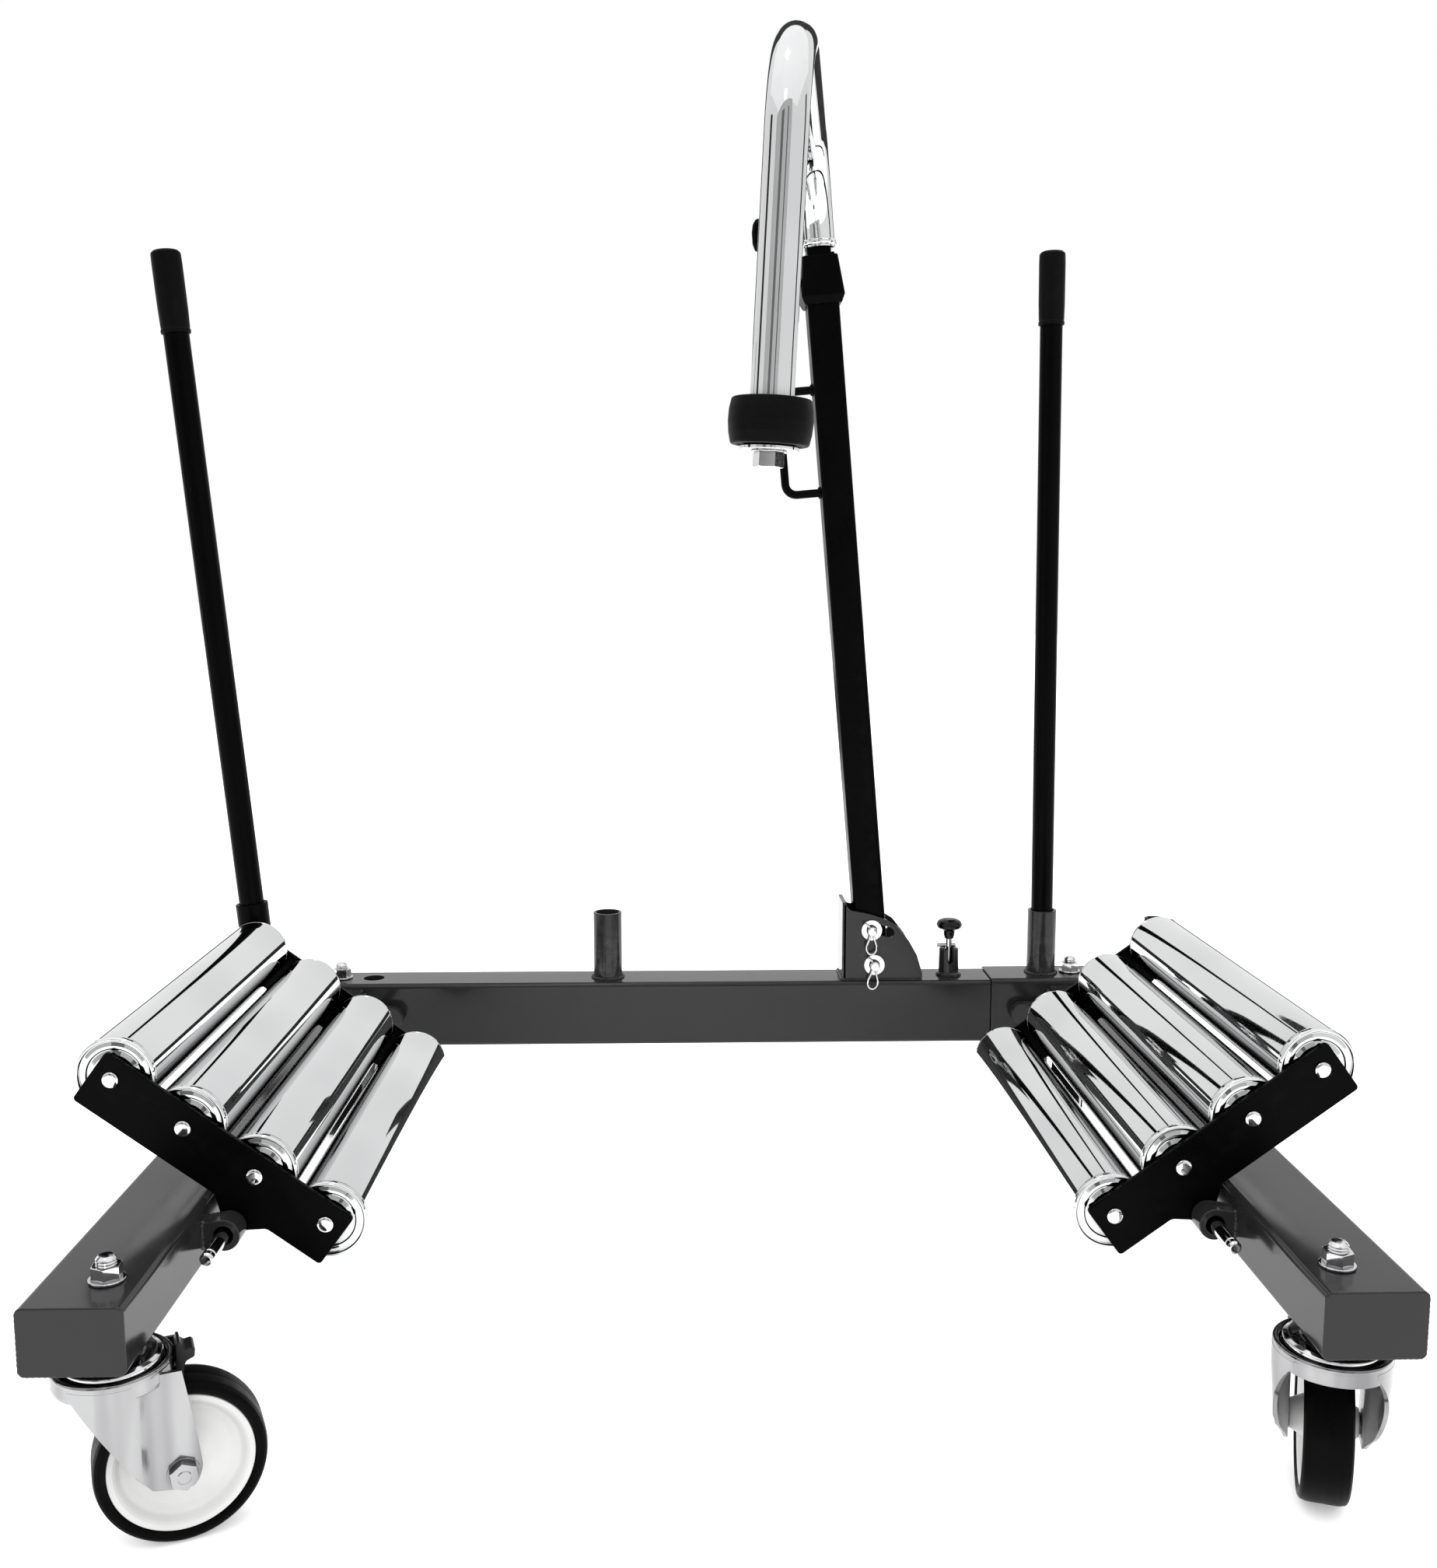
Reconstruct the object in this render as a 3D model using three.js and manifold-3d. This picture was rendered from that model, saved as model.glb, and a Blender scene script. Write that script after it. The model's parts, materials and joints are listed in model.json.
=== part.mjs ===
// Wheel dolly for heavy vehicle wheels: a telescoping U-frame on four swivel casters, two tilting
// roller carriages that form a V-cradle, two tilt levers, and a pinned mast with a sliding safety hook.
// Millimetres. +X to the dolly's right as seen from its open side, +Y from the open side to the crossbar,
// +Z up. The floor is at FLOOR_Z until the last step, which stands the origin on it.
import * as THREE from "three";
import { mergeVertices } from "three/addons/utils/BufferGeometryUtils.js";
import Module from "manifold-3d";

// ---- driving dimensions ----

const GAP = 0.3; // between pieces that touch on the real object

// frame, measured from a datum just above the floor and from the front ends of the legs
const FLOOR_Z = -11;
const LEG_TOP = 205;
const LEG = { width: 80, height: 54, wall: 3, corner: 5, outerX: 525, frontY: 0 };
const BAR = { width: 68, height: 83, wall: 3, corner: 5, frontY: 865, topZ: LEG_TOP + 9 };
const BAR_MID_Y = BAR.frontY + BAR.width / 2;
const BAR_BOTTOM = BAR.topZ - BAR.height;
const SEAM_X = 370.6; // where the left tube meets the right corner sleeve
const SLEEVE_GROW = 2.5; // the right sleeve stands proud of the left tube by this much all round
const CASTER_RELIEF_X = 418; // outboard of this the crossbar is shallower, to seat the rear casters
const CASTER_SEAT_Z = LEG_TOP - LEG.height;
const SLIDE_TUBE = { fromX: 0, toX: 417, clearance: 0.6, wall: 4, indexPitch: 50, indexHoles: 6 };
const BAR_HOLE = { x: -440, radius: 13.5 };
const STORAGE = { leftX: -132, rightX: 443.3, outer: 18.7, bore: 15.2, topZ: LEG_TOP + 96.4 };

// casters
const CASTER_Y = { front: 45, rear: BAR_MID_Y };
const CASTER_X = { front: 473, rear: 482 };
const WHEEL = { radius: 65, width: 38, trail: 46, sides: 20 };
const HEAD = { plate: 38, ring: 45, stud: 7, washer: 14, nut: 11.5 };

// roller carriages, in their own plane: u runs from the outer to the inner end, v is square to it, up
const TILT = THREE.MathUtils.degToRad(36.4);
const CARRIAGE = {
  midX: 435.5, midZ: LEG_TOP + 38, pitch: 74, plateUp: 18.2, plateDown: 33.6, endPast: 17,
  plate: 5, frontY: 207, rearY: 675, pivotU: 45, pivotV: -47, pivotTube: 9.2, earRadius: 14,
};
const ROLLER = { radius: 35, bore: 6.4, frontY: 214.5, rearY: 667.5, axle: 6, head: 7 };
const PIVOT_ROD = { radius: 6, frontY: 134, rearY: 858 };
const PIVOT_BORE = 6.4;
const FRONT_LUG = { fromY: 182, toY: 204, radius: 14, bore: 8.4 };
const REAR_LUG = { fromY: 843, toY: 857, reach: 33, height: 28 };

// levers
const LEVER = { outer: 14, bore: 11.5, grip: 16.5, gripLength: 88 };
const LEFT_LEVER = { x: -534, y: 697, z: LEG_TOP + 104, lean: THREE.MathUtils.degToRad(5.1), length: 783 };
const RIGHT_LEVER = { z: BAR.topZ + SLEEVE_GROW + 0.6, lean: THREE.MathUtils.degToRad(0.7), length: 919 };
const SOCKET = { outer: 18.3, bore: 14.5, tall: 50, short: 24 };

// mast, hinged on the lower pin and stopped by the upper pin in an arc slot
const MAST_PIN = { x: 217.3, z: LEG_TOP + 30, radius: 6, slotRadius: 46.4, slotHalf: 6.8 };
const MAST_LEAN = THREE.MathUtils.degToRad(5);
const SLOT_END = THREE.MathUtils.degToRad(24.6);
const MAST = { side: 40, wall: 3, corner: 3, top: 893, tongue: 14, shoulder: 11 };
const COLLAR = { from: 842, shoulder: 852, to: 901, wide: 54, narrow: 43.8 };
const INNER = { side: 30, wall: 2.5, from: 470, to: 911 };
const HANDLE = { low: 613, high: 741, out: 44, radius: 5.2, bend: 14 };
const BRACKET = { leftX: 175, innerX: 180.5, rightX: 281.5, cheek: 5, frontY: 871, rearY: 927 };
const CLAMP = { at: 872, hub: 12 };

// safety hook: a bent tube from the mast head, over the wheel, down to a rubber roller
const HOOK = {
  outer: 22, wall: 2.5, bend: 105, baseGap: 0.4, sides: 12,
  rise: new THREE.Vector3(128.5, BAR_MID_Y, LEG_TOP + 1053),
  turn: new THREE.Vector3(71, 430, LEG_TOP + 1053),
  tip: new THREE.Vector3(53.3, 430, LEG_TOP + 702),
};
const BUMPER = { radius: 41.5, length: 45, bore: 9.4 };

// spring plunger that locks the telescoping crossbar
const PLUNGER = { x: 320, housing: 12.8, housingTop: LEG_TOP + 46, pin: 3.5, knob: 17 };

// ---- materials ----

const finish = (color, roughness, metalness) =>
  new THREE.MeshStandardMaterial({ color, roughness, metalness });
const GREY_PAINT = finish(0x3b3b3d, 0.32, 0.1);
const BLACK_PAINT = finish(0x0c0c0d, 0.35, 0.1);
const CHROME = finish(0xe8eaec, 0.08, 1);
const ZINC = finish(0xc9ccd0, 0.3, 1);
const RUBBER = finish(0x141414, 0.75, 0);
const TREAD = finish(0x0b0b0b, 0.6, 0);
const WHITE_NYLON = finish(0xe9e9e6, 0.45, 0);
const PEDAL_PLASTIC = finish(0x2b2b2d, 0.55, 0);

// ---- solid modelling ----

const wasm = await Module();
wasm.setup();

function toSolid(geometry) {
  const bare = new THREE.BufferGeometry();
  bare.setAttribute("position", geometry.getAttribute("position"));
  bare.setIndex(geometry.index);
  const merged = mergeVertices(bare, 1e-4);
  return new wasm.Manifold(new wasm.Mesh({
    numProp: 3,
    vertProperties: new Float32Array(merged.attributes.position.array),
    triVerts: new Uint32Array(merged.index.array),
  }));
}

function toGeometry(solid) {
  const mesh = solid.getMesh();
  const positions = new Float32Array(mesh.numVert * 3);
  for (let i = 0; i < mesh.numVert; i++) {
    const start = i * mesh.numProp;
    positions.set(mesh.vertProperties.subarray(start, start + 3), i * 3);
  }
  const geometry = new THREE.BufferGeometry();
  geometry.setAttribute("position", new THREE.BufferAttribute(positions, 3));
  geometry.setIndex(new THREE.BufferAttribute(mesh.triVerts, 1));
  return geometry;
}

const join = (first, ...rest) => rest.reduce((sum, piece) => sum.add(piece), first);
const cut = (body, ...tools) => tools.reduce((left, tool) => left.subtract(tool), body);

function block(x0, x1, y0, y1, z0, z1) {
  const geometry = new THREE.BoxGeometry(x1 - x0, y1 - y0, z1 - z0);
  geometry.translate((x0 + x1) / 2, (y0 + y1) / 2, (z0 + z1) / 2);
  return toSolid(geometry);
}

// A cylinder from one point to another.
function bar(from, to, radius, sides = 20) {
  const along = to.clone().sub(from);
  const geometry = new THREE.CylinderGeometry(radius, radius, along.length(), sides);
  const turn = new THREE.Quaternion();
  turn.setFromUnitVectors(new THREE.Vector3(0, 1, 0), along.clone().normalize());
  geometry.applyQuaternion(turn);
  geometry.translate(...from.clone().add(to).multiplyScalar(0.5).toArray());
  return toSolid(geometry);
}

const barY = (x, z, y0, y1, radius, sides) =>
  bar(new THREE.Vector3(x, y0, z), new THREE.Vector3(x, y1, z), radius, sides);
const barZ = (x, y, z0, z1, radius, sides) =>
  bar(new THREE.Vector3(x, y, z0), new THREE.Vector3(x, y, z1), radius, sides);

// A profile of [radius, height] pairs turned about +Z; the first pair is repeated at the end when it closes.
function turned(profile, sides, matrix = new THREE.Matrix4()) {
  const points = profile.map(([radius, height]) => new THREE.Vector2(radius, height));
  const geometry = new THREE.LatheGeometry(points, sides);
  geometry.rotateX(Math.PI / 2);
  geometry.applyMatrix4(matrix);
  const made = toSolid(geometry);
  if (made.volume() > 0) return made;
  const flipped = geometry.index.array;
  for (let i = 0; i < flipped.length; i += 3) {
    [flipped[i + 1], flipped[i + 2]] = [flipped[i + 2], flipped[i + 1]];
  }
  return toSolid(geometry);
}

// An outline of [x, z] pairs, as a slab between two heights along Y.
function slabY(outline, y0, y1, curveSegments = 6) {
  const isShape = outline instanceof THREE.Shape;
  const shape = isShape ? outline : new THREE.Shape(outline.map(([x, z]) => new THREE.Vector2(x, z)));
  const geometry = new THREE.ExtrudeGeometry(shape, { depth: y1 - y0, bevelEnabled: false, curveSegments });
  geometry.rotateX(Math.PI / 2);
  geometry.translate(0, y1, 0);
  return toSolid(geometry);
}

function roundedRectangle(width, height, radius) {
  const x = width / 2;
  const y = height / 2;
  const shape = new THREE.Shape();
  shape.moveTo(-x + radius, -y);
  shape.absarc(x - radius, -y + radius, radius, -Math.PI / 2, 0, false);
  shape.absarc(x - radius, y - radius, radius, 0, Math.PI / 2, false);
  shape.absarc(-x + radius, y - radius, radius, Math.PI / 2, Math.PI, false);
  shape.absarc(-x + radius, -y + radius, radius, Math.PI, Math.PI * 1.5, false);
  return shape;
}

// A rounded rectangular prism along Z, then turned to lie along another axis.
function rectPrism(width, height, radius, length, matrix) {
  const geometry = new THREE.ExtrudeGeometry(roundedRectangle(width, height, radius), {
    depth: length, bevelEnabled: false, curveSegments: 2,
  });
  geometry.applyMatrix4(matrix);
  return toSolid(geometry);
}

const AXIS_X = new THREE.Matrix4().makeBasis(
  new THREE.Vector3(0, 1, 0), new THREE.Vector3(0, 0, 1), new THREE.Vector3(1, 0, 0));
const AXIS_Y = new THREE.Matrix4().makeBasis(
  new THREE.Vector3(0, 0, 1), new THREE.Vector3(1, 0, 0), new THREE.Vector3(0, 1, 0));
const moved = (matrix, x, y, z) => new THREE.Matrix4().makeTranslation(x, y, z).multiply(matrix);

// A round section swept along a curve.
function swept(curve, radius, sides, steps, bore = 0) {
  const ring = (r) => {
    const points = [];
    for (let i = 0; i < sides; i++) {
      const angle = (i / sides) * Math.PI * 2;
      points.push(new THREE.Vector2(r * Math.cos(angle), r * Math.sin(angle)));
    }
    return points;
  };
  const shape = new THREE.Shape(ring(radius));
  if (bore) shape.holes.push(new THREE.Path(ring(bore)));
  const options = { extrudePath: curve, steps, bevelEnabled: false };
  return toSolid(new THREE.ExtrudeGeometry(shape, options));
}

// A polyline whose corners are rounded to one bend radius; each bend is split into a few equal stations.
class BentPath extends THREE.Curve {
  constructor(corners, radius, perBend) {
    super();
    this.stations = [{ at: corners[0], heading: headingOf(corners[0], corners[1]) }];
    for (let i = 1; i < corners.length - 1; i++) {
      const before = headingOf(corners[i - 1], corners[i]);
      const after = headingOf(corners[i], corners[i + 1]);
      const sweep = before.angleTo(after);
      const axis = before.clone().cross(after).normalize();
      const inward = axis.clone().cross(before);
      const enter = corners[i].clone().addScaledVector(before, -radius * Math.tan(sweep / 2));
      const centre = enter.clone().addScaledVector(inward, radius);
      for (let k = 0; k <= perBend; k++) {
        const angle = (sweep * k) / perBend;
        const spoke = inward.clone().multiplyScalar(-radius).applyAxisAngle(axis, angle);
        this.stations.push({ at: spoke.add(centre), heading: before.clone().applyAxisAngle(axis, angle) });
      }
    }
    const last = corners.length - 1;
    this.stations.push({ at: corners[last], heading: headingOf(corners[last - 1], corners[last]) });
  }
  get steps() {
    return this.stations.length - 1;
  }
  station(u) {
    return this.stations[Math.round(u * this.steps)];
  }
  getPointAt(u) {
    return this.station(u).at.clone();
  }
  getTangentAt(u) {
    return this.station(u).heading.clone();
  }
}

function headingOf(from, to) {
  return to.clone().sub(from).normalize();
}

// ---- assembly ----

const dolly = new THREE.Group();

function addPart(name, solid, material, parent = dolly) {
  const mesh = new THREE.Mesh(toGeometry(solid), material);
  mesh.name = name;
  parent.add(mesh);
  return mesh;
}

// A point of a carriage plane: u inwards along the plates, v up from the roller axles.
function carriagePoint(side, u, v) {
  const x = CARRIAGE.midX - u * Math.cos(TILT) - v * Math.sin(TILT);
  const z = CARRIAGE.midZ - u * Math.sin(TILT) + v * Math.cos(TILT);
  return [side * x, z];
}

function pivotOf(side) {
  const [x, z] = carriagePoint(side, CARRIAGE.pivotU, CARRIAGE.pivotV);
  return { x, z };
}

// ---- legs ----

function makeLeg(side) {
  const x = side * (LEG.outerX - LEG.width / 2);
  const rear = side < 0 ? BAR.frontY - GAP : BAR.frontY - SLEEVE_GROW - GAP;
  const z = LEG_TOP - LEG.height / 2;
  const place = moved(AXIS_Y, x, LEG.frontY, z);
  const outer = rectPrism(LEG.height, LEG.width, LEG.corner, rear - LEG.frontY, place);
  const halfInside = LEG.width / 2 - LEG.wall;
  const hollow = block(x - halfInside, x + halfInside, LEG.frontY + LEG.wall, rear + 5,
    LEG_TOP - LEG.height + LEG.wall, LEG_TOP - LEG.wall);
  const innerX = side * (LEG.outerX - LEG.width);
  const pivot = pivotOf(side);
  const lugRoot = [innerX + side, pivot.x].sort((a, b) => a - b);
  const frontLug = join(
    barY(pivot.x, pivot.z, FRONT_LUG.fromY, FRONT_LUG.toY, FRONT_LUG.radius, 16),
    block(lugRoot[0], lugRoot[1], FRONT_LUG.fromY, FRONT_LUG.toY, pivot.z - 11, pivot.z + 11),
  );
  const tip = pivot.x - side * (REAR_LUG.reach - REAR_LUG.height / 2);
  const lugSpan = [innerX + side, tip].sort((a, b) => a - b);
  const rearLug = join(
    barY(tip, pivot.z - 4, REAR_LUG.fromY, REAR_LUG.toY, REAR_LUG.height / 2, 14),
    block(lugSpan[0], lugSpan[1], REAR_LUG.fromY, REAR_LUG.toY, pivot.z - 18, pivot.z + 10),
  );
  const studX = side * CASTER_X.front;
  const studHole = barZ(studX, CASTER_Y.front, CASTER_SEAT_Z - 5, LEG_TOP + 5, HEAD.stud + 0.5, 12);
  const rodHole = barY(pivot.x, pivot.z, FRONT_LUG.fromY - 5, REAR_LUG.toY + 5, PIVOT_BORE, 16);
  const ringHole = barY(pivot.x, pivot.z, FRONT_LUG.fromY - 5, FRONT_LUG.toY + 5, FRONT_LUG.bore, 16);
  return cut(join(cut(outer, hollow), frontLug, rearLug), studHole, rodHole, ringHole);
}

addPart("left_leg", makeLeg(-1), GREY_PAINT);
addPart("right_leg", makeLeg(1), GREY_PAINT);

// ---- crossbar: left tube, right sleeve and the slide tube inside both ----

// A tube along X that is shallower outboard of the caster relief.
function crossTube(x0, x1, grow, side) {
  const deep = side < 0 ? [-CASTER_RELIEF_X, x1] : [x0, CASTER_RELIEF_X];
  const y0 = BAR.frontY - grow;
  const y1 = BAR.frontY + BAR.width + grow;
  const top = BAR.topZ + grow;
  const full = rectPrism(y1 - y0, top - (BAR_BOTTOM - grow), BAR.corner, deep[1] - deep[0],
    moved(AXIS_X, deep[0], (y0 + y1) / 2, (top + BAR_BOTTOM - grow) / 2));
  const shallow = rectPrism(y1 - y0, top - CASTER_SEAT_Z, BAR.corner, x1 - x0,
    moved(AXIS_X, x0, (y0 + y1) / 2, (top + CASTER_SEAT_Z) / 2));
  return full.add(shallow);
}

function storageTube(x, baseZ) {
  return join(
    barZ(x, BAR_MID_Y, baseZ - 1, STORAGE.topZ, STORAGE.outer, 20),
    turned([[0, 0], [STORAGE.outer + 4, 0], [STORAGE.outer, 5], [0, 5]], 20,
      new THREE.Matrix4().makeTranslation(x, BAR_MID_Y, baseZ - 1)),
  );
}

const storageBore = (x, baseZ) => barZ(x, BAR_MID_Y, baseZ + GAP, STORAGE.topZ + 5, STORAGE.bore, 18);
const castorHole = (x) => barZ(x, CASTER_Y.rear, CASTER_SEAT_Z - 5, BAR.topZ + 10, HEAD.stud + 0.5, 12);

function makeCrossbarTube() {
  const outer = crossTube(-LEG.outerX, SEAM_X, 0, -1);
  const wall = BAR.wall;
  const hollow = join(
    block(-CASTER_RELIEF_X + wall, SEAM_X + 5, BAR.frontY + wall, BAR.frontY + BAR.width - wall,
      BAR_BOTTOM + wall, BAR.topZ - wall),
    block(-LEG.outerX + wall, SEAM_X + 5, BAR.frontY + wall, BAR.frontY + BAR.width - wall,
      CASTER_SEAT_Z + wall, BAR.topZ - wall),
  );
  const tube = join(cut(outer, hollow), storageTube(STORAGE.leftX, BAR.topZ));
  return cut(
    tube,
    storageBore(STORAGE.leftX, BAR.topZ),
    castorHole(-CASTER_X.rear),
    barZ(BAR_HOLE.x, BAR_MID_Y, BAR.topZ - 10, BAR.topZ + 10, BAR_HOLE.radius, 24),
    barZ(PLUNGER.x, BAR_MID_Y, BAR.topZ - 10, BAR.topZ + 10, PLUNGER.pin + 1.5, 16),
  );
}

function makeRightSleeve() {
  const outer = crossTube(SEAM_X + 0.5, LEG.outerX, SLEEVE_GROW, 1);
  const fit = BAR.wall - SLIDE_TUBE.clearance / 2;
  const pocket = block(SEAM_X - 5, SLIDE_TUBE.toX + GAP,
    BAR.frontY + fit - 0.1, BAR.frontY + BAR.width - fit + 0.1,
    BAR_BOTTOM + fit - 0.1, BAR.topZ - fit + 0.1);
  const lightening = block(SLIDE_TUBE.toX - 5, LEG.outerX - BAR.wall, BAR.frontY + BAR.wall,
    BAR.frontY + BAR.width - BAR.wall, CASTER_SEAT_Z + BAR.wall, BAR.topZ - BAR.wall);
  const top = BAR.topZ + SLEEVE_GROW;
  return cut(
    join(cut(outer, pocket, lightening), storageTube(STORAGE.rightX, top)),
    storageBore(STORAGE.rightX, top),
    castorHole(CASTER_X.rear),
  );
}

function makeSlideTube() {
  const inset = BAR.wall + SLIDE_TUBE.clearance;
  const depth = BAR.width - 2 * inset;
  const height = BAR.height - 2 * inset;
  const midZ = (BAR.topZ + BAR_BOTTOM) / 2;
  const length = SLIDE_TUBE.toX - SLIDE_TUBE.fromX;
  const outer = rectPrism(depth, height, 2, length, moved(AXIS_X, SLIDE_TUBE.fromX, BAR_MID_Y, midZ));
  const halfDepth = depth / 2 - SLIDE_TUBE.wall;
  const halfHeight = height / 2 - SLIDE_TUBE.wall;
  const hollow = block(SLIDE_TUBE.fromX - 5, SLIDE_TUBE.toX + 5, BAR_MID_Y - halfDepth,
    BAR_MID_Y + halfDepth, midZ - halfHeight, midZ + halfHeight);
  const holes = [];
  for (let i = 0; i < SLIDE_TUBE.indexHoles; i++) {
    const x = PLUNGER.x - i * SLIDE_TUBE.indexPitch;
    holes.push(barZ(x, BAR_MID_Y, BAR.topZ - 20, BAR.topZ, PLUNGER.pin + 1, 12));
  }
  return cut(outer, hollow, ...holes);
}

addPart("crossbar_tube", makeCrossbarTube(), GREY_PAINT);
addPart("right_sleeve", makeRightSleeve(), GREY_PAINT);
addPart("slide_tube", makeSlideTube(), GREY_PAINT);

// ---- spring plunger ----

function makePlungerHousing() {
  const { x, housing, housingTop } = PLUNGER;
  const base = BAR.topZ + GAP;
  const body = turned([[0, base], [housing + 3, base], [housing, base + 4], [housing - 0.6, housingTop - 4],
    [housing - 4, housingTop], [0, housingTop]], 20, new THREE.Matrix4().makeTranslation(x, BAR_MID_Y, 0));
  const bore = barZ(x, BAR_MID_Y, base - 1, housingTop + 1, PLUNGER.pin + 1.5, 16);
  const slot = block(x - 3.6, x + 3.6, BAR_MID_Y - 20, BAR_MID_Y + 20, base + 16, housingTop + 1);
  return cut(body, bore, slot);
}

function makePlungerPin() {
  const { x, pin, housingTop } = PLUNGER;
  const tip = BAR.topZ - BAR.wall + 0.2;
  const crossZ = housingTop + GAP + 2.4;
  return join(
    barZ(x, BAR_MID_Y, tip, LEG_TOP + 60, pin, 14),
    bar(new THREE.Vector3(x - 16.5, BAR_MID_Y, crossZ), new THREE.Vector3(x + 9, BAR_MID_Y, crossZ),
      2.4, 12),
  );
}

function makePlungerKnob() {
  const { x, knob } = PLUNGER;
  const low = LEG_TOP + 58;
  const profile = [[4, low], [5.6, low], [7, low + 4], [7, low + 12], [knob - 1.5, low + 14],
    [knob, low + 18], [knob - 3, low + 24], [8, low + 26.5], [0, low + 27], [0, low + 3],
    [4, low + 3], [4, low]];
  return turned(profile, 18, new THREE.Matrix4().makeTranslation(x, BAR_MID_Y, 0));
}

addPart("plunger_housing", makePlungerHousing(), GREY_PAINT);
addPart("plunger_pin", makePlungerPin(), ZINC);
addPart("plunger_knob", makePlungerKnob(), BLACK_PAINT);

// ---- mast bracket and its pins ----

const mastPoint = (across, up, lean = -MAST_LEAN) => [
  MAST_PIN.x + across * Math.cos(lean) + up * Math.sin(lean),
  MAST_PIN.z - across * Math.sin(lean) + up * Math.cos(lean),
];

function arcSlot() {
  const shape = new THREE.Shape();
  const from = Math.PI / 2 - SLOT_END;
  const to = Math.PI / 2 + MAST_LEAN;
  const { x, z, slotRadius, slotHalf } = MAST_PIN;
  const centre = (angle) => [x + slotRadius * Math.cos(angle), z + slotRadius * Math.sin(angle)];
  shape.absarc(x, z, slotRadius + slotHalf, from, to, false);
  shape.absarc(...centre(to), slotHalf, to, to + Math.PI, false);
  shape.absarc(x, z, slotRadius - slotHalf, to, from, true);
  shape.absarc(...centre(from), slotHalf, from + Math.PI, from + 2 * Math.PI, false);
  return slabY(shape, BRACKET.frontY - 5, BRACKET.rearY + 5, 5);
}

function makeBracket() {
  const base = BAR.topZ + GAP;
  const { leftX, innerX, rightX, cheek, frontY, rearY } = BRACKET;
  const outline = [[leftX + 2, base], [rightX, base], [280, 225], [273.3, 247], [263, 265.5], [247.8, 285],
    [232.5, 294.5], [216, 300.5], [202, 304], [187, 306.5], [181, 311], [178.5, 318], [leftX + 2, 318]];
  const front = slabY(outline, frontY, frontY + cheek);
  const rear = slabY(outline, rearY - cheek, rearY);
  const web = block(leftX, innerX, frontY, rearY, base, 318);
  const foot = block(252, rightX - 2, frontY + 1, rearY - 1, base, base + 4);
  const pinHole = barY(MAST_PIN.x, MAST_PIN.z, frontY - 5, rearY + 5, MAST_PIN.radius + 0.4, 14);
  return cut(join(front, rear, web, foot), pinHole, arcSlot());
}

// A clevis pin along Y with a washer, a rear head and a wire clip that hangs from its front end.
function clevisPin(x, z, clipTurn) {
  const { frontY, rearY } = BRACKET;
  const clipY = BAR.frontY - 2.2;
  const loop = [];
  const outline = [[0, 4], [1.5, -8], [6.4, -20], [5.5, -28], [0, -31.5], [-5.5, -28],
    [-6.4, -20], [-1.5, -8]];
  for (const [across, down] of outline) {
    const cos = Math.cos(clipTurn);
    const sin = Math.sin(clipTurn);
    loop.push(new THREE.Vector3(x + across * cos - down * sin, clipY, z + across * sin + down * cos));
  }
  const clip = swept(new THREE.CatmullRomCurve3(loop, true, "centripetal"), 1.5, 5, 16);
  return join(
    barY(x, z, frontY - 13, rearY + 3, MAST_PIN.radius, 14),
    barY(x, z, frontY - 3, frontY - GAP, 13.5, 18),
    barY(x, z, rearY + GAP, rearY + 5, 9.5, 14),
    clip,
  );
}

addPart("mast_bracket", makeBracket(), GREY_PAINT);
addPart("mast_pivot_pin", clevisPin(MAST_PIN.x, MAST_PIN.z, 0.12), ZINC);
const [stopX, stopZ] = mastPoint(0, MAST_PIN.slotRadius);
addPart("mast_stop_pin", clevisPin(stopX, stopZ, 0.04), ZINC);

// ---- mast: built upright about the lower pin, then leaned ----

const mast = new THREE.Group();
mast.position.set(MAST_PIN.x, BAR_MID_Y, MAST_PIN.z);
mast.rotation.y = -MAST_LEAN;
dolly.add(mast);

const squareTube = (side, wall, corner, from, to) => cut(
  rectPrism(side, side, corner, to - from, moved(new THREE.Matrix4(), 0, 0, from)),
  rectPrism(side - 2 * wall, side - 2 * wall, Math.max(corner - wall, 0.6), to - from + 10,
    moved(new THREE.Matrix4(), 0, 0, from - 5)),
);

function makeMast() {
  const { side, wall, corner, top, tongue, shoulder } = MAST;
  const envelope = join(
    block(-side, side, -side, side, shoulder, top + 5),
    barY(0, 0, -side, side, tongue, 20),
  );
  const tube = squareTube(side, wall, corner, -tongue, top).intersect(envelope);
  const face = -side / 2;
  const grip = new BentPath([
    new THREE.Vector3(face + 1.5, 0, HANDLE.high),
    new THREE.Vector3(face - HANDLE.out, 0, HANDLE.high),
    new THREE.Vector3(face - HANDLE.out, 0, HANDLE.low),
    new THREE.Vector3(face + 1.5, 0, HANDLE.low),
  ], HANDLE.bend, 3);
  const bolts = join(
    barY(0, 0, -side, side, MAST_PIN.radius + 0.4, 14),
    barY(0, MAST_PIN.slotRadius, -side, side, MAST_PIN.radius + 0.4, 14),
  );
  return cut(join(tube, swept(grip, HANDLE.radius, 8, grip.steps)), bolts);
}

// A square frustum whose half-width changes with height.
function frustum(half0, z0, half1, z1) {
  const geometry = new THREE.CylinderGeometry(half1 * Math.SQRT2, half0 * Math.SQRT2, z1 - z0, 4);
  geometry.rotateY(Math.PI / 4);
  geometry.rotateX(Math.PI / 2);
  geometry.translate(0, 0, (z0 + z1) / 2);
  return toSolid(geometry);
}

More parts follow.
